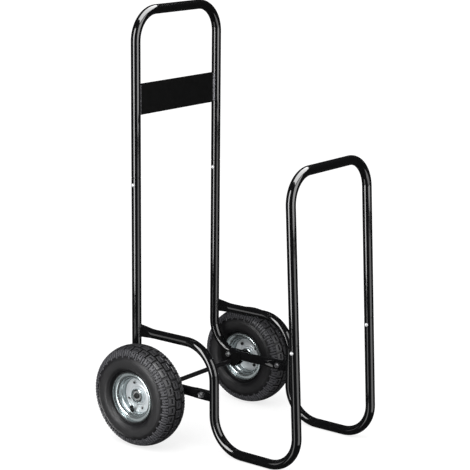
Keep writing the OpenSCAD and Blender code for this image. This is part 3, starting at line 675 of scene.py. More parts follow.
middle_x = (spring_far + spring_near) / 2
leg = [5, 0, -5, -11, -17, -23]
bow_r = spring_r - spring_t / 2
hairpin = [(middle_x - bow_r, b * mm) for b in leg]
hairpin += arc(middle_x, -spring_leg, bow_r, 180, 360, 20)
hairpin += [(middle_x + bow_r, b * mm) for b in reversed(leg)]
strip = beside(hairpin, spring_t / 2) + beside(hairpin, -spring_t / 2)[::-1]
for joint, put in joints.items():
    for side, sign in sides.items():
        def in_tube(a, b, c):
            return put(sign * half_frame + a, b - button_drop, c)

        spring = sheet_piece("%s_spring_strip_%s" % (joint, side), strip, spring_w, in_tube, 0.1 * mm)
        dress(spring, spring_steel, "spring_steel", None, "%s_spring_%s" % (joint, side))
        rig.blend(spring, "frame", "%s_button_%s" % (joint, side),
                 in_tube(spring_far - spring_t, 0, 0), in_tube(spring_near + spring_t, 0, 0))


# ------------------------------------------------------- tabs and arm bolts
# A tab of plate is welded to the back of each loop's upright. The pressed end
# of the lower arm slips over it, and a zinc-plated hexagon bolt goes through
# both, with a washer under its head and a nut on the cart's inner side.
tab_t = 6.8 * mm
tab_half_h = 8.5 * mm
tab_from = 10.9 * mm
tab_past_bolt = 11 * mm
tab_corner = 2 * mm
loop_to_bolt = 37 * mm
bolt_r = 4 * mm
hole_room = 0.2 * mm
bolt_flats = 13 * mm
bolt_head_h = 5.3 * mm
bolt_past = 8.5 * mm
thread_past = 5 * mm
nut_h = 6.5 * mm
washer_t = 1.6 * mm
washer_r = 8 * mm


def hexed(flats, thread_from=None, pitch=None):
    """Shape for turned(): keeps radii inside a hexagon, and cuts a thread past thread_from."""
    def shape(r, u, t):
        turn = (t + math.pi / 6) % (math.pi / 3) - math.pi / 6
        r = min(r, flats / 2 / math.cos(turn))
        if thread_from and u > thread_from and r > pitch:
            r -= 0.9 * pitch * abs((u / pitch - t / (2 * math.pi)) % 1 - 0.5)
        return r, u
    return shape


def bolt(name, put, r, flats, head_h, length, thread_from, pitch=1.25 * mm):
    """A hexagon bolt, whose head ends at 0 and whose shank runs on along put's axis."""
    corner = flats / 2 / math.cos(math.pi / 6)
    count = round((length - thread_from) / pitch * 8)
    thread = [(r, thread_from + (length - 0.6 * mm - thread_from) * i / count) for i in range(count + 1)]
    outline = [(0, -head_h + 0.2 * mm), (0.3 * flats, -head_h + 0.2 * mm), (0.34 * flats, -head_h),
               (0.47 * flats, -head_h), (corner, -head_h + 0.06 * flats), (corner, -0.5 * mm),
               (0.48 * flats, -0.2 * mm), (0.46 * flats, 0), (r, 0)]
    outline += thread + [(r - 0.8 * mm, length), (0, length)]
    return turned(name, put, outline, 72, hexed(flats, thread_from, pitch), 25)


def nut(name, put, r, flats, start, height):
    """A hexagon nut on put's axis from start to start + height."""
    corner = flats / 2 / math.cos(math.pi / 6)
    chamfer = 0.06 * flats
    end = start + height
    outline = [(r, start), (0.47 * flats, start), (corner, start + chamfer), (corner, end - chamfer),
               (0.47 * flats, end), (r + 0.6 * mm, end), (r, end - 0.6 * mm)]
    return turned(name, put, outline, 72, hexed(flats), 25)


def washer(name, put, inner, outer, start, thickness, edge=0.25 * mm):
    """A flat ring on put's axis, with its outer edges broken."""
    end = start + thickness
    return turned(name, put, [(inner, start), (outer - edge, start), (outer, start + edge),
                              (outer, end - edge), (outer - edge, end), (inner, end)], 64)


def merged(name, pieces):
    """Several pieces as one."""
    work = bmesh.new()
    for piece in pieces:
        work.from_mesh(piece.data)
        bpy.data.objects.remove(piece)
    mesh = bpy.data.meshes.new(name)
    work.to_mesh(mesh)
    work.free()
    whole = bpy.data.objects.new(name, mesh)
    bpy.context.scene.collection.objects.link(whole)
    return whole


def bolts(name, place, grip):
    """A pair of bolts, left and right, that run past what they clamp, far enough to hold a nut."""
    length, thread_from = grip + bolt_past, grip + thread_past
    return merged(name, [bolt("bolt", place(sign), bolt_r, bolt_flats, bolt_head_h, length, thread_from)
                         for sign in sides.values()])


def nuts(name, place, grip):
    """The pair of nuts on those bolts."""
    return merged(name, [nut("nut", place(sign), bolt_r, bolt_flats, grip, nut_h)
                         for sign in sides.values()])


zinc = uneven_finish(
    "bright zinc plate", tint=(300, 4), dark=(0.58, 0.60, 0.60), pale=(0.70, 0.71, 0.71),
    sheen=(500, 4), roughness=(0.2, 0.32), dents=(600, 3), depth=0.05 * mm, strength=0.5, metallic=0.9)

# A darker zinc colour for the arm bolts, washers and nuts than for the other zinc parts.
darker_zinc = uneven_finish(
    "dulled zinc plate", tint=(420, 4), dark=(0.20, 0.20, 0.21), pale=(0.44, 0.44, 0.45),
    sheen=(500, 4), roughness=(0.24, 0.4), dents=(600, 3), depth=0.05 * mm, strength=0.5, metallic=0.9)


def arm_bolt_axis(sign):
    """Placer from the outer face of the washer inwards."""
    seat = Vector((sign * (half_frame + press_half_w + washer_t), loop_y + loop_to_bolt, lower_arm_h))
    return around(seat, Vector((-sign, 0, 0)), Vector((0, 0, 1)))


for side, sign in sides.items():
    def in_loop(a, b, c):
        return Vector((sign * half_frame + c, a, b))

    low, high = lower_arm_h - tab_half_h, lower_arm_h + tab_half_h
    start, end = loop_y + tab_from, loop_y + loop_to_bolt + tab_past_bolt
    outline = [(start, low), (end - tab_corner, low), (end, low + tab_corner),
               (end, high - tab_corner), (end - tab_corner, high), (start, high)]
    tab = sheet_piece("arm_tab_plate_" + side, outline, tab_t, in_loop)
    drilled(tab, arm_bolt_axis(sign), bolt_r + hole_room, 20 * mm)
    dress(tab, satin_black, "plate_satin_black", "frame", "arm_tab_" + side)

arm_grip = 2 * press_half_w + washer_t
arm_washers = [washer("arm_washer", arm_bolt_axis(sign), bolt_r + hole_room, washer_r, 0, washer_t)
               for sign in sides.values()]
dress(bolts("arm_bolt_pair", arm_bolt_axis, arm_grip), darker_zinc, "zinc_steel", "frame", "arm_bolts")
dress(merged("arm_washer_pair", arm_washers), darker_zinc, "zinc_steel", "frame", "arm_washers")
dress(nuts("arm_nut_pair", arm_bolt_axis, arm_grip), darker_zinc, "zinc_steel", "frame", "arm_nuts")


# ------------------------------------------------------------ axle brackets
# Each bracket is a saddle folded from sheet round the underside of the lower
# arm. The axle runs through its cheeks, and one bolt over the axle clamps it.
bracket_t = 3 * mm
bracket_in = tube_r + 0.05 * mm
bracket_out = bracket_in + bracket_t
bracket_low = axle_h - 13 * mm
bracket_bolt_y = axle_y + 5 * mm
bracket_bolt_h = lower_arm_h + side_bend_r - math.sqrt(side_bend_r ** 2 - (bracket_bolt_y - arm_bend_y) ** 2)
bracket_top = bracket_bolt_h + 8 * mm
fold_r = 2.6 * mm


def bracket_half_len(z):
    """Half the bracket's length at a height: short at its bottom, with rounded corners at its top."""
    middle = (bracket_low + bracket_top) / 2
    corner = 3 * mm
    half = (12 + 19 * min(1.0, (z - bracket_low) / (middle - bracket_low))) * mm
    over = max(0.0, z - (bracket_top - corner))
    return half - corner + math.sqrt(max(0.0, corner ** 2 - over ** 2))


def bracket_piece(name, centre_x):
    """The folded saddle, as a strip of sheet swept from its front end to its back end."""
    x, low = bracket_in + bracket_t / 2, bracket_low + bracket_t / 2
    heights = [bracket_top - d * mm for d in (0, 0.3, 0.8, 1.5, 2.3, 3, 10, 19, 20.2, 21.4, 28)]
    cheek = [(-x, z) for z in heights] + arc(fold_r - x, low + fold_r, fold_r, 180, 270, 6)
    middle = cheek + [(-a, z) for a, z in reversed(cheek)]
    outside, inside = beside(middle, -bracket_t / 2), beside(middle, bracket_t / 2)
    outline = outside + inside[::-1]
    count = len(outline)
    edge = 0.4 * mm
    slim = beside(middle, edge - bracket_t / 2) + beside(middle, bracket_t / 2 - edge)[::-1]
    vertices = []
    for line, end, back in ((slim, -1, 0), (outline, -1, edge), (outline, 1, edge), (slim, 1, 0)):
        vertices += [Vector((centre_x + a, axle_y + end * (bracket_half_len(z) - back), z)) for a, z in line]
    faces = ring_faces(4, count)[:-count]
    for ring in (0, 3 * count):
        last = ring + count - 1
        faces += [(ring + i, ring + i + 1, last - 1 - i, last - i) for i in range(count // 2 - 1)]
    return mesh_piece(name, vertices, faces, 30)


def bracket_bolt_axis(sign):
    """Placer from the bracket's outer cheek inwards."""
    seat = Vector((sign * (half_frame + bracket_out), bracket_bolt_y, bracket_bolt_h))
    return around(seat, Vector((-sign, 0, 0)), Vector((0, 0, 1)))


for side, sign in sides.items():
    bracket = bracket_piece("axle_bracket_sheet_" + side, sign * half_frame)
    dress(bracket, satin_black, "plate_satin_black", "frame", "axle_bracket_" + side)
bracket_grip = 2 * bracket_out
bracket_bolts = bolts("bracket_bolt_pair", bracket_bolt_axis, bracket_grip)
dress(bracket_bolts, zinc, "zinc_steel", "frame", "bracket_bolts")
bracket_nuts = nuts("bracket_nut_pair", bracket_bolt_axis, bracket_grip)
dress(bracket_nuts, zinc, "zinc_steel", "frame", "bracket_nuts")


# --------------------------------------------------------------------- axle
# One round bar painted black runs through both brackets. A spacer tube keeps
# each wheel off its bracket; a zinc-plated washer and a push-on cap keep it on.
axle_r = 6 * mm
spacer_r = 10 * mm
half_track = half_frame + 65.5 * mm
washer_in = 8.8 * mm
cap_in = 10.8 * mm
axle_end = 13.8 * mm
end_washer_r = 12.5 * mm
cap_r = 7.7 * mm
cap_out = 4.6 * mm
axle_paint = uneven_finish(
    "black painted steel", tint=(90, 5), dark=(0.005, 0.005, 0.006), pale=(0.009, 0.009, 0.010),
    sheen=(160, 5), roughness=(0.28, 0.42), dents=(500, 3), depth=0.05 * mm, strength=0.5)
cap_plastic = uneven_finish(
    "moulded black plastic", tint=(200, 4), dark=(0.006, 0.006, 0.007), pale=(0.010, 0.010, 0.011),
    sheen=(300, 4), roughness=(0.35, 0.5), dents=(1500, 2), depth=0.03 * mm, strength=0.6)

axle_put = around(Vector((0, axle_y, axle_h)), Vector((1, 0, 0)), Vector((0, 1, 0)))
half_axle = half_track + axle_end
axle_edge = 1 * mm
bar = [(0, -half_axle), (axle_r - axle_edge, -half_axle), (axle_r, axle_edge - half_axle),
       (axle_r, half_axle - axle_edge), (axle_r - axle_edge, half_axle), (0, half_axle)]
dress(turned("axle_bar", axle_put, bar, 48), axle_paint, "axle_dark_steel", "frame", "axle")

valve_turn = {"left": math.radians(158), "right": math.radians(97)}
wheel_put = {}
for side, sign in sides.items():
    start = Vector((0, math.sin(valve_turn[side]), -sign * math.cos(valve_turn[side])))
    wheel_put[side] = around(Vector((sign * half_track, axle_y, axle_h)), Vector((sign, 0, 0)), start)
spacer_in = -(half_track - half_frame - bracket_out)
spacer_len = -washer_in - spacer_in
cap_face = cap_in + cap_out
cap = ([(0, axle_end), (axle_r, axle_end), (axle_r, cap_in), (cap_r - 0.3 * mm, cap_in),
        (cap_r, cap_in + 0.3 * mm), (cap_r, cap_in + 1.0 * mm), (cap_r - 0.5 * mm, cap_in + 1.3 * mm)]
       + arc(cap_r - 2.3 * mm, cap_face - 1.8 * mm, 1.8 * mm, 0, 90, 6)
       + [(2.6 * mm, cap_face), (2 * mm, cap_face - 0.7 * mm), (0, cap_face - 0.8 * mm)])
for side, put in wheel_put.items():
    spacer = washer("axle_spacer_tube_" + side, put, axle_r, spacer_r, spacer_in, spacer_len, 0.5 * mm)
    dress(spacer, axle_paint, "axle_dark_steel", "frame", "axle_spacer_" + side)
    axle_cap = turned("axle_cap_push_" + side, put, cap, 64)
    dress(axle_cap, cap_plastic, "cap_black", "frame", "axle_cap_" + side)
end_washers = [washer("end_washer", put, axle_r, end_washer_r, washer_in, cap_in - washer_in, 0.4 * mm)
               for put in wheel_put.values()]
dress(merged("end_washer_pair", end_washers), zinc, "zinc_steel", "frame", "end_washers")


# ------------------------------------------------------------------- rims
# Each rim is two halves pressed from sheet steel and bolted back to back. Each
# half has its own bearing cup, a ring embossed round it, a deep well, a bead
# seat and a rolled flange. Zinc plate gives it a pale, cool grey shine.
bearing_r = 16 * mm
rim_t = 1.8 * mm
rim_flange_r = 64.8 * mm
seat_r = 50.9 * mm
well_r = 47.4 * mm
flange_out = 26.5 * mm
cup_out = 12.5 * mm
emboss_r = 24 * mm
bead_u = 15.5 * mm
valve_u = bead_u - 6 * mm
valve_lean = math.radians(30)
valve_hole_r = 4.7 * mm
lip_r = 2.6 * mm
blister_h = 1.9 * mm
blister_half_w = 13 * mm
blister_from = 17 * mm
seat_bend_r = 7 * mm
disc_u = rim_t / 2
cup_r = bearing_r + rim_t / 2
well_line_r = well_r - rim_t / 2
seat_line_r = seat_r - rim_t / 2
lip_h = rim_flange_r - rim_t / 2 - lip_r

rim_line = (
    [(cup_r + 0.5 * mm, cup_out), (cup_r, cup_out - 0.8 * mm), (cup_r, disc_u + 3.4 * mm)]
    + arc(cup_r + 2.2 * mm, disc_u + 2.2 * mm, 2.2 * mm, 180, 270, 6)
    + [(emboss_r + out * mm, disc_u + up * mm) for out, up in
       ((-3, 0), (-2.2, 0.5), (-1.4, 1.1), (0, 1.3), (1.4, 1.1), (2.2, 0.5), (3, 0))]
    + [(emboss_r + (4.6 + 1.6 * i) * mm, disc_u) for i in range(9)]
    + arc(well_line_r - 3.4 * mm, disc_u + 3.4 * mm, 3.4 * mm, -90, 0, 8)
    + [(well_line_r, bead_u - 3 * mm), (well_line_r + 0.6 * mm, bead_u - 1.6 * mm),
       (seat_line_r - 0.5 * mm, bead_u - 0.4 * mm), (seat_line_r, bead_u + 0.8 * mm)]
    + arc(seat_line_r + seat_bend_r, flange_out - seat_bend_r, seat_bend_r, 180, 90, 12)
    + arc(lip_h, flange_out + lip_r, lip_r, -90, 90, 12))
rim_outline = beside(rim_line, rim_t / 2) + beside(rim_line, -rim_t / 2)[::-1]


def relief(r, u, t):
    """Raises a blister in the disc beside the valve, which sits at angle 0."""
    if u < 5 * mm:
        run, off = r * math.cos(t), abs(r * math.sin(t))
        rise = smooth((blister_half_w - off) / (2.6 * mm)) * smooth((run - blister_from) / (4 * mm))
        u += blister_h * rise
    return r, u


def marked(tree, name):
    """The value that a piece's points carry under that name."""
    node = tree.nodes.new("ShaderNodeAttribute")
    node.attribute_name = name
    return node.outputs["Fac"]


def between(tree, kind, share, first, second):
    """A colour or value that goes from the first to the second as the share goes from 0 to 1."""
    node = tree.nodes.new("ShaderNodeMix")
    node.data_type = kind
    return plug(node, factor=share, a=first, b=second).outputs["Result"]


# The flat disc is painted paler, as painted light, and the well, seat and flange darker and greener, as painted shade
# and reflection; the disc is also duller and less metallic.
zinc_rim = Finish("zinc plated rim")
brushed = marked(zinc_rim.tree, "brushed")
shaded_curves_colour = zinc_rim.colours(zinc_rim.noise(30, 3), (0.50, 0.56, 0.57), (0.57, 0.63, 0.64))
lit_disc_colour = zinc_rim.colours(zinc_rim.noise(30, 3), (0.72, 0.76, 0.78), (0.80, 0.84, 0.86))
zinc_rim.set(
    base_color=between(zinc_rim.tree, "RGBA", brushed, shaded_curves_colour, lit_disc_colour),
    metallic=zinc_rim.ramp(brushed, 0, 1, 0.85, 0.4),
    roughness=zinc_rim.ramp(brushed, 0, 1, 0.2, 0.42))
zinc_rim.bump(zinc_rim.noise(60, 2), 0.10 * mm, 0.3)


def mark_dull_lit_disc(piece):
    """Marks the flat of the pressing, which the press leaves duller than its curves, and which takes a paler colour as
    painted light.
    """
    def on_disc(place):
        out = math.hypot(place.y - axle_y, place.z - axle_h)
        return abs(abs(place.x) - half_track) < 5 * mm and out < well_line_r - 2.4 * mm

    values = [1.0 if on_disc(v.co) else 0.0 for v in piece.data.vertices]
    piece.data.attributes.new("brushed", "FLOAT", "POINT").data.foreach_set("value", values)


def flipped(put):
    """The placer of a wheel's inner side, which mirrors its outer side."""
    return lambda r, t, u: put(r, t, -u)


def valve_axis(put):
    """Placer up the valve from the well, where it sits at angle 0 and leans outwards."""
    centre = put(0, 0, 0)
    lean = (put(-math.cos(valve_lean), 0, math.sin(valve_lean)) - centre).normalized()
    return around(put(well_r, 0, valve_u), lean, (put(1, math.pi / 2, 0) - centre).normalized())


for side, put in wheel_put.items():
    outer = turned("rim_outer_pressing_" + side, put, rim_outline, 180, relief)
    drilled(outer, valve_axis(put), valve_hole_r, 6 * mm)
    mark_dull_lit_disc(outer)
    dress(outer, zinc_rim, "rim_zinc", "wheel_" + side, "rim_outer_" + side)
    inner = turned("rim_inner_pressing_" + side, flipped(put), rim_outline, 180)
    mark_dull_lit_disc(inner)
    dress(inner, zinc_rim, "rim_zinc", "wheel_" + side, "rim_inner_" + side)


# ------------------------------------------------------------------ bearings
# Two sealed ball bearings sit in each wheel's cups: steel races with a black
# rubber seal pressed in between, and a short steel ring that keeps them apart.
bearing_w = 7.5 * mm
bearing_from = 1 * mm
bearing_ring_r = 8.5 * mm
race_in_r = 13.4 * mm
race_out_r = 8.6 * mm
# The races and ring are painted a dark grey, darker than bright steel: painted shade of the recessed cups they sit in.
shaded_race_steel = uneven_finish(
    "ground bearing steel", tint=(260, 4), dark=(0.14, 0.14, 0.15), pale=(0.20, 0.20, 0.21),
    sheen=(500, 4), roughness=(0.2, 0.32), dents=(1400, 2), depth=0.02 * mm, strength=0.4, metallic=0.85)
seal_rubber = uneven_finish(
    "bearing seal", tint=(300, 4), dark=(0.006, 0.006, 0.006), pale=(0.011, 0.011, 0.011),
    sheen=(400, 4), roughness=(0.45, 0.6), dents=(1300, 2), depth=0.03 * mm, strength=0.5)

face = bearing_from + bearing_w
outer_race = [(race_in_r, bearing_from), (bearing_r, bearing_from), (bearing_r, face - 0.5 * mm),
              (bearing_r - 0.5 * mm, face), (race_in_r + 0.3 * mm, face), (race_in_r, face - 0.4 * mm)]
inner_race = [(axle_r, bearing_from), (race_out_r, bearing_from), (race_out_r, face - 0.4 * mm),
              (race_out_r - 0.3 * mm, face), (axle_r + 0.5 * mm, face), (axle_r, face - 0.5 * mm)]
seal_line = ((8.6, 1.6), (8.6, 0.6), (9.4, 0.9), (10.2, 0.5),
             (12.2, 0.5), (12.8, 0.9), (13.4, 0.6), (13.4, 1.6))
seal = [(r * mm, face - back * mm) for r, back in seal_line]
for side, put in wheel_put.items():
    ways = (put, flipped(put))
    races = merged("bearing_races_" + side, [turned("race", way, line, 72)
                   for way in ways for line in (outer_race, inner_race)])
    dress(races, shaded_race_steel, "bearing_steel", "wheel_" + side, "bearings_" + side)
    seals = [turned("seal", way, seal, 72) for way in ways]
    dress(merged("bearing_seals_" + side, seals), seal_rubber, "bearing_steel", "wheel_" + side)
    ring = washer("bearing_ring_turned_" + side, put, axle_r, bearing_ring_r,
                  -bearing_from, 2 * bearing_from, 0.3 * mm)
    dress(ring, shaded_race_steel, "bearing_steel", "wheel_" + side, "bearing_ring_" + side)


# ----------------------------------------------------------------- rim bolts
# Four black oxide bolts hold the two rim halves together. Their heads are on
# the wheel's inner side, and bright zinc nuts show on its outer side.
rim_bolt_r = 2.5 * mm
rim_bolt_flats = 8 * mm
rim_bolt_ring = 33.5 * mm
bolt_black = uneven_finish(
    "black oxide", tint=(200, 5), dark=(0.008, 0.008, 0.009), pale=(0.018, 0.018, 0.020),
    sheen=(400, 4), roughness=(0.3, 0.45), dents=(900, 2), depth=0.03 * mm, strength=0.5, metallic=0.3)
for side, put in wheel_put.items():
    wheel, centre = "wheel_" + side, put(0, 0, 0)
    turns = [math.radians(45 + 90 * i) for i in range(4)]
    seats = [around(put(rim_bolt_ring, turn, -rim_t), put(0, 0, 1) - centre, put(1, turn, 0) - centre)
             for turn in turns]
    rim_bolts = [bolt("rim_bolt", seat, rim_bolt_r, rim_bolt_flats, 3.4 * mm, 8.4 * mm, 6.6 * mm, 0.8 * mm)
                 for seat in seats]
    dress(merged("rim_bolt_set_" + side, rim_bolts), bolt_black, "bolt_black", wheel, "rim_bolts_" + side)
    rim_nuts = [nut("rim_nut", seat, rim_bolt_r, rim_bolt_flats, 2 * rim_t, 4.2 * mm) for seat in seats]
    dress(merged("rim_nut_set_" + side, rim_nuts), zinc, "zinc_steel", wheel, "rim_nuts_" + side)


# -------------------------------------------------------------------- valves
# A rubber stem snaps into the well of the outer rim half and leans outwards.
# A knurled plastic cap screws on its end. The outlines are plain numbers in mm.
valve_rubber = uneven_finish(
    "valve rubber", tint=(150, 5), dark=(0.008, 0.008, 0.008), pale=(0.014, 0.014, 0.014),
    sheen=(300, 4), roughness=(0.42, 0.58), dents=(1100, 3), depth=0.03 * mm, strength=0.5)
flutes = 18
flute_depth = 0.35 * mm
stem = ([(0, 0.5), (4.4, 0.5), (4.4, 2.2)] + arc(4.6, 3.2, 0.8, -60, 90, 6)
        + [(4.4, 4.1), (4.1, 5), (3.9, 6.4), (3.5, 6.9), (3.4, 13), (3, 13.4), (0, 13.4)])
cap_outline = ([(3.5, 7.15), (5.2, 7.15), (5.5, 7.5), (5.5, 8.6), (5.2, 8.9), (5.4, 9.2), (5.4, 16.2)]
               + arc(4, 16.6, 1.4, 0, 90, 5) + [(0, 18), (0, 14), (3.5, 14)])
stem = [(r * mm, u * mm) for r, u in stem]
cap_outline = [(r * mm, u * mm) for r, u in cap_outline]


def knurled(r, u, t):
    """Cuts the grip of the cap, a row of flutes down its side."""
    if 9 * mm < u < 16.4 * mm and r > 5.3 * mm:
        r -= flute_depth * abs(math.sin(flutes * t / 2))
    return r, u


for side, put in wheel_put.items():
    valve_stem = turned("valve_stem_" + side, valve_axis(put), stem, 40)
    dress(valve_stem, valve_rubber, "valve_rubber", "wheel_" + side, "valve_" + side)
    valve_cap = turned("valve_cap_knurled_" + side, valve_axis(put), cap_outline, 108, knurled)
    dress(valve_cap, cap_plastic, "cap_black", "wheel_" + side, "valve_cap_" + side)


# --------------------------------------------------------------- inner tubes
# A butyl inner tube, moulded as one ring, fills each tyre and holds its air. It
# is out of sight, and keeps its CAD shape.
tube_rubber = uneven_finish(
    "butyl rubber", tint=(80, 5), dark=(0.010, 0.010, 0.010), pale=(0.018, 0.018, 0.018),
    sheen=(200, 4), roughness=(0.5, 0.65), dents=(600, 3), depth=0.05 * mm, strength=0.5)
for side in sides:
    inner_tube = frame["nodes"]["inner_tube_" + side]
    inner_tube.data.materials.clear()
    inner_tube.data.materials.append(tube_rubber.material)
    inner_tube.data.shade_smooth()


# ------------------------------------------------------------------- tyres
# A moulded two-ply pneumatic tyre with a smooth round sidewall. Its tread has a
# slotted middle row of blocks, a slotted row on each side, and over each
# shoulder raised bars: one long, then two short ones joined by a bridge.
# This section's sizes are plain numbers in mm.
wheel_r = 130
crown_r = 66
crown_edge = 29
pitches = 32
pitch_r = 124
pitch_len = 2 * math.pi * pitch_r / pitches
worn = 0.7
wall_run = 0.4
# Grooves as (from, to) across the tread from its middle, (from, to) along it in
# pitches, and depth.
grooves = [
    (-2, 2, 0.762, 1.238, 4.5), (-13.2, 13.2, 0.41, 0.59, 6), (8.8, 13.2, -1, 2, 6),
    (8.8, 32, -0.095, 0.095, 6), (18.6, 22.6, 0.238, 0.762, 4.5), (29.6, 32, 0.095, 0.905, 3),
    (29.6, 55, 0.095, 0.238, 3), (29.6, 55, 0.762, 0.905, 3), (29.6, 38.5, 0.428, 0.572, 3),
    (43, 55, 0.428, 0.572, 3), (47.2, 55, 0.095, 0.905, 3)]
shoulder = [(123.29, crown_edge), (122.2, 31.6), (117.5, 34.9), (112.9, 37.1), (108.5, 38.4), (105, 39.1),
            (103, 39.3)]
band_end = 51.5
side_wall_r, side_wall_u = 92.03, 20
side_wall_half_r, side_wall_half_u = 22.54, 22.5
squareness = 3.2
side_wall_ribs = ((72.5, 0.7, 0.9), (98.5, 0.4, 0.8))


def cut(inside):
    """Share of a groove's depth at a distance inside its edge, whose rim is a little worn."""
    if inside < 0:
        return 0.13 * max(0.0, 1 + inside / worn)
    return 0.13 + 0.87 * min(1.0, inside / wall_run)


def groove_depth(v, phase):
    """Depth of the deepest groove at a distance across the tread and a place along its pitch."""
    deepest = 0.0
    for v_low, v_high, low, high, depth in grooves:
        for p in (phase - 1, phase, phase + 1):
            room = min(v - v_low, v_high - v, (p - low) * pitch_len, (high - p) * pitch_len)
            if room > -worn:
                deepest = max(deepest, depth * cut(room))
    return deepest


def surface(v):
    """Point (r, u) of the uncut tread at a distance v across it."""
    if v <= crown_edge:
        return Vector((wheel_r - crown_r + math.sqrt(crown_r ** 2 - v ** 2), v))
    left = v - crown_edge
    for start, end in zip(shoulder, shoulder[1:]):
        step = Vector(end) - Vector(start)
        if left <= step.length or end == shoulder[-1]:
            return Vector(start) + step.normalized() * left
        left -= step.length


def stops(edges, extra, end):
    """Places of the net's lines: the extra ones, and three at each (edge, way into its groove)."""
    found = set(extra)
    for edge, way in edges:
        found |= {round(edge - way * worn, 3), round(edge, 3), round(edge + way * wall_run, 3)}
    return sorted(stop for stop in found if 0 <= stop <= end)


across_edges = [edge for v_low, v_high, *rest in grooves for edge in ((v_low, 1), (v_high, -1))]
v_stops = stops(across_edges, (0, 4.5, 16.2, 25.8, 28, 34, 36.2, 40.7, 45, 49.2, band_end), band_end)
ends_along = [(low, high) for v_low, v_high, low, high, depth in grooves if high - low < 1]
along_edges = [(edge % 1 * pitch_len, way)
               for low, high in ends_along for edge, way in ((low, 1), (high, -1))]
phase_stops = [stop / pitch_len for stop in stops(along_edges, (0, pitch_len * 0.5), pitch_len)]


def tread_band(put):
    """Vertices, faces and pale share of the cut tread, partly wear and partly painted highlight, closed underneath
    inside the carcass.
    """
    column, reach = [], 1.2
    for v in [-v for v in reversed(v_stops)] + v_stops[1:]:
        here = surface(abs(v))
        run = surface(min(abs(v) + reach, band_end + 0.8)) - surface(max(abs(v) - reach, 0))
        normal = Vector((run.y, -run.x)).normalized()
        column.append((v, here, normal))
    under = [(105.5, 35.6), (111, 30.6), (117.5, 22), (120.5, 0)]
    under += [(r, -u) for r, u in reversed(under[:-1])]
    depths = {phase: [groove_depth(abs(v), phase) for v, here, normal in column] for phase in phase_stops}
    vertices, wear = [], []
    for turn in range(pitches):
        for phase in phase_stops:
            t = 2 * math.pi * (turn + phase) / pitches
            for (v, here, normal), depth in zip(column, depths[phase]):
                r, u = here - normal * depth
                vertices.append(put(r * mm, t, math.copysign(u, v) * mm))
                # Groove rims, then bar tops, are made paler, most over the shoulders: partly real wear, partly a
                # painted highlight on the bars.
                rubbed_and_lit = 1.0 if 0.2 < depth < 0.7 else 0.4 if depth < 0.2 else 0.0
                wear.append(rubbed_and_lit * (1.0 if abs(v) > crown_edge else 0.35))
            vertices += [put(r * mm, t, u * mm) for r, u in under]
            wear += [0.0] * len(under)
    return vertices, ring_faces(pitches * len(phase_stops), len(column) + len(under)), wear


def carcass(put):
    """Vertices and faces of the tyre's body, from bead to bead."""
    outside = [(51.2, 15.5), (51.2, 20.5), (52.6, 23.2), (55, 24.9), (57, 25.2), (62.6, 25.3), (66.5, 25.6)]
    for i in range(31):
        angle = math.radians(160 - 103 * i / 30)
        c, s = math.cos(angle), math.sin(angle)
        full = (abs(c) ** squareness + s ** squareness) ** (-1 / squareness) if c < 0 else 1
        r, u = side_wall_r + side_wall_half_r * c * full, side_wall_u + side_wall_half_u * s * full
        rib = sum(height * math.exp(-((r - at) / width) ** 2) for at, height, width in side_wall_ribs)
        outside.append((r + rib * c, u + rib * s))
    outside += [(106.5, 36.2), (111.3, 32.8), (116.5, 28.5), (119.4, 22), (122.2, 11), (123.2, 0)]
    inside = [(115.05, 0)] + arc(94.96, 17, 20.05, 0, 155, 14) + [(66, 15.2)]
    outside += [(r, -u) for r, u in reversed(outside[:-1])]
    outline = outside + [(r, -u) for r, u in reversed(inside[1:])] + inside
    steps = 144
    vertices = [put(r * mm, 2 * math.pi * k / steps, u * mm) for k in range(steps) for r, u in outline]
    return vertices, ring_faces(steps, len(outline))


tyre_rubber = Finish("tyre rubber")
moulded_shade = tyre_rubber.colours(
    tyre_rubber.noise(30, 6), (0.0070, 0.0068, 0.0080), (0.0115, 0.0111, 0.0127))
# The marked tread turns pale grey: partly wear, partly a painted highlight that stands in for light on the shoulder
# bars.
rubbed_and_lit_share = tyre_rubber.ramp(marked(tyre_rubber.tree, "wear"), 0, 1, 0.0, 0.8)
rubbed_and_lit_colour = (0.15, 0.15, 0.167, 1)
tyre_rubber.set(
    base_color=between(tyre_rubber.tree, "RGBA", rubbed_and_lit_share, moulded_shade, rubbed_and_lit_colour),
    roughness=tyre_rubber.ramp(tyre_rubber.noise(80, 6), 0.3, 0.7, 0.40, 0.54), specular_ior_level=0.42)
tyre_rubber.bump(tyre_rubber.noise(700, 4), 0.10 * mm, 0.5)
for side, put in wheel_put.items():
    body_vertices, body_faces = carcass(put)
    band_vertices, band_faces, band_wear_and_highlight = tread_band(put)
    first = len(body_vertices)
    faces = body_faces + [tuple(i + first for i in face) for face in band_faces]
    tyre = mesh_piece("tyre_moulded_" + side, body_vertices + band_vertices, faces, 28,
                      [0.0] * first + band_wear_and_highlight)
    dress(tyre, tyre_rubber, "tyre_rubber", "wheel_" + side, "tyre_" + side)


# --------------------------------------------------- floor, light and camera
# A pale studio floor that glows a little, so that it stays almost white, and
# soft panels seen only as reflections, some of them in a few pieces alone. The
# camera stands where the photograph was taken from.
floor_half = 2.2
floor_mesh = bpy.data.meshes.new("floor")
floor_mesh.from_pydata([(-floor_half, -floor_half, 0), (floor_half, -floor_half, 0),
                        (floor_half, floor_half, 0), (-floor_half, floor_half, 0)], [], [(0, 1, 2, 3)])
floor = bpy.data.objects.new("floor", floor_mesh)
bpy.context.scene.collection.objects.link(floor)
floor_paint = Finish("pale floor")
floor_paint.set(
    base_color=floor_paint.colours(floor_paint.noise(3, 4), (0.30, 0.30, 0.30), (0.31, 0.31, 0.31)),
    roughness=0.9, emission_color=(1, 1, 1, 1), emission_strength=0.78)
floor_mesh.materials.append(floor_paint.material)
floor.visible_glossy = False
floor.visible_diffuse = False
floor.visible_shadow = False
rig.stage(floor)

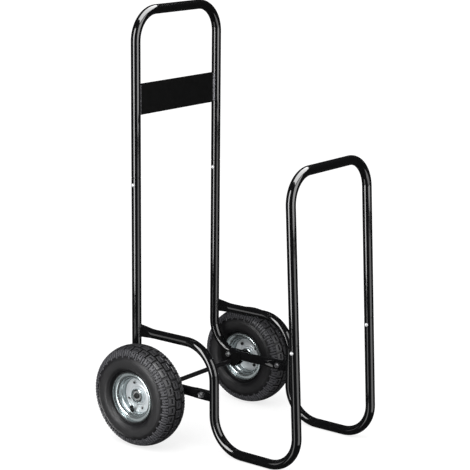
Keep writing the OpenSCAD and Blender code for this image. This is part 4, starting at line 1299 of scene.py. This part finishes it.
world = bpy.data.worlds.new("studio")
world.use_nodes = True
bpy.context.scene.world = world
sky = world.node_tree
rays = sky.nodes.new("ShaderNodeLightPath").outputs
diffuse_light, glossy_light, seen_light = 0.62, 0.03, 1.1
sky_light = between(sky, "FLOAT", rays["Is Glossy Ray"], diffuse_light, glossy_light)
sky_light = between(sky, "FLOAT", rays["Is Camera Ray"], sky_light, seen_light)
plug(sky.nodes["Background"], strength=sky_light, color=(1, 1, 1, 1))

camera_az = math.radians(-51.385)
toward_camera = Vector((math.sin(camera_az), -math.cos(camera_az), 0))
camera_right = Vector((math.cos(camera_az), math.sin(camera_az), 0))
middle = Vector((0, 0, 0.5))


def aimed(obj, place):
    """Sets a light up at a place, turned towards the middle of the cart."""
    obj.location = place
    obj.rotation_euler = (middle - place).to_track_quat("-Z", "Y").to_euler()
    bpy.context.scene.collection.objects.link(obj)


def panel(name, turn, distance, width, height, radiance, lift=0.0, only=None):
    """A glowing panel seen only in reflections, turned that many degrees to the right of the camera."""
    light = bpy.data.lights.new(name, "AREA")
    light.shape = "RECTANGLE"
    light.size, light.size_y = width, height
    light.energy = radiance * math.pi * width * height
    obj = bpy.data.objects.new(name, light)
    t = math.radians(turn)
    outwards = toward_camera * math.cos(t) + camera_right * math.sin(t)
    aimed(obj, middle + outwards * distance + Vector((0, 0, lift)))
    obj.visible_diffuse = False
    obj.visible_camera = False
    if only:
        obj.light_linking.receiver_collection = only
    return obj


def lit(name, chosen):
    """The chosen ones of all pieces so far, as a group that a panel may light alone."""
    group = bpy.data.collections.new(name)
    for piece in bpy.context.scene.objects:
        if chosen(piece):
            group.objects.link(piece)
    return group


def body_of(piece):
    """Name of the body that a piece rides, if it rides one."""
    return piece.get("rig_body", "")


rims = lit("rims", lambda piece: piece.name.startswith(("rim_outer", "rim_inner")))
all_but_rims = lit("all but rims", lambda piece: piece.name not in rims.objects)
wheels = lit("wheels", lambda piece: body_of(piece).startswith("wheel_") or piece.name == "end_washer_pair")
near_wheel = lit("near wheel", lambda piece: body_of(piece) == "wheel_left")
near_tyre = lit("near tyre", lambda piece: piece.name == "tyre_moulded_left")
hoops = lit("hoops", lambda piece: piece.name in ("handle_tube", "hoop_tube"))
loops = lit("loops", lambda piece: piece.name.startswith("side_loop_tube"))
# Turn, distance, width, height, radiance and lift of each panel, and what it lights.
panel("left strip", -48, 3.0, 1.2, 3.2, 9, 0.6)
panel("left strip, low", -48, 3.0, 1.2, 1.4, 1.8, -1.7)
panel("right panel", 52, 3.0, 2.4, 2.6, 4.0, 0.85, all_but_rims)
panel("right panel, low", 52, 3.1, 2.4, 1.6, 1.8, -1.25, all_but_rims)
panel("loop softbox", -81, 3.0, 0.7, 1.5, 1.1, -0.1, loops)
panel("wheel softbox", -77, 3.0, 2.0, 1.2, 0.4, -0.95, wheels)
panel("rim softbox", -77, 3.0, 2.2, 1.2, 0.8, -0.95, rims)
panel("rim softbox, right", 103, 3.0, 2.4, 1.4, 1.4, -0.8, rims)
panel("tread softbox", 10, 1.5, 1.0, 1.0, 45, 1.94, near_tyre)
panel("sidewall glow", -128, 2.2, 1.6, 0.8, 3.5, -1.6, near_wheel)
overhead = panel("overhead softbox", 0, 0, 3.4, 3.4, 9, 0, hoops)
overhead.location = (0.4, -0.9, 3.2)
overhead.rotation_euler = (0, 0, 0)
sun = bpy.data.lights.new("soft sun", "SUN")
sun.energy = 1.9
sun.angle = math.radians(60)
sun_obj = bpy.data.objects.new("soft sun", sun)
aimed(sun_obj, middle + toward_camera * 2 - camera_right * 1.5 + Vector((0, 0, 4)))
sun_obj.visible_glossy = False

camera_el = math.radians(13.081)
photo_px = 470
focal_px = 1685
sensor_w = 36
camera = bpy.data.cameras.new("camera")
camera.sensor_width = sensor_w
camera.lens = sensor_w * focal_px / photo_px
camera.clip_end = 60
camera_obj = bpy.data.objects.new("camera", camera)
back = toward_camera * math.cos(camera_el) + Vector((0, 0, math.sin(camera_el)))
camera_obj.location = Vector((-3219.9 * mm, -2766.7 * mm + post_y, 1477.4 * mm))
camera_obj.rotation_euler = back.to_track_quat("Z", "Y").to_euler()
bpy.context.scene.collection.objects.link(camera_obj)
bpy.context.scene.camera = camera_obj
bpy.context.scene.view_settings.view_transform = "Standard"

with open("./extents.json", "w") as report:
    json.dump({"cad": cad_box, "visual": [list(corner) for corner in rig.bounds()]}, report)
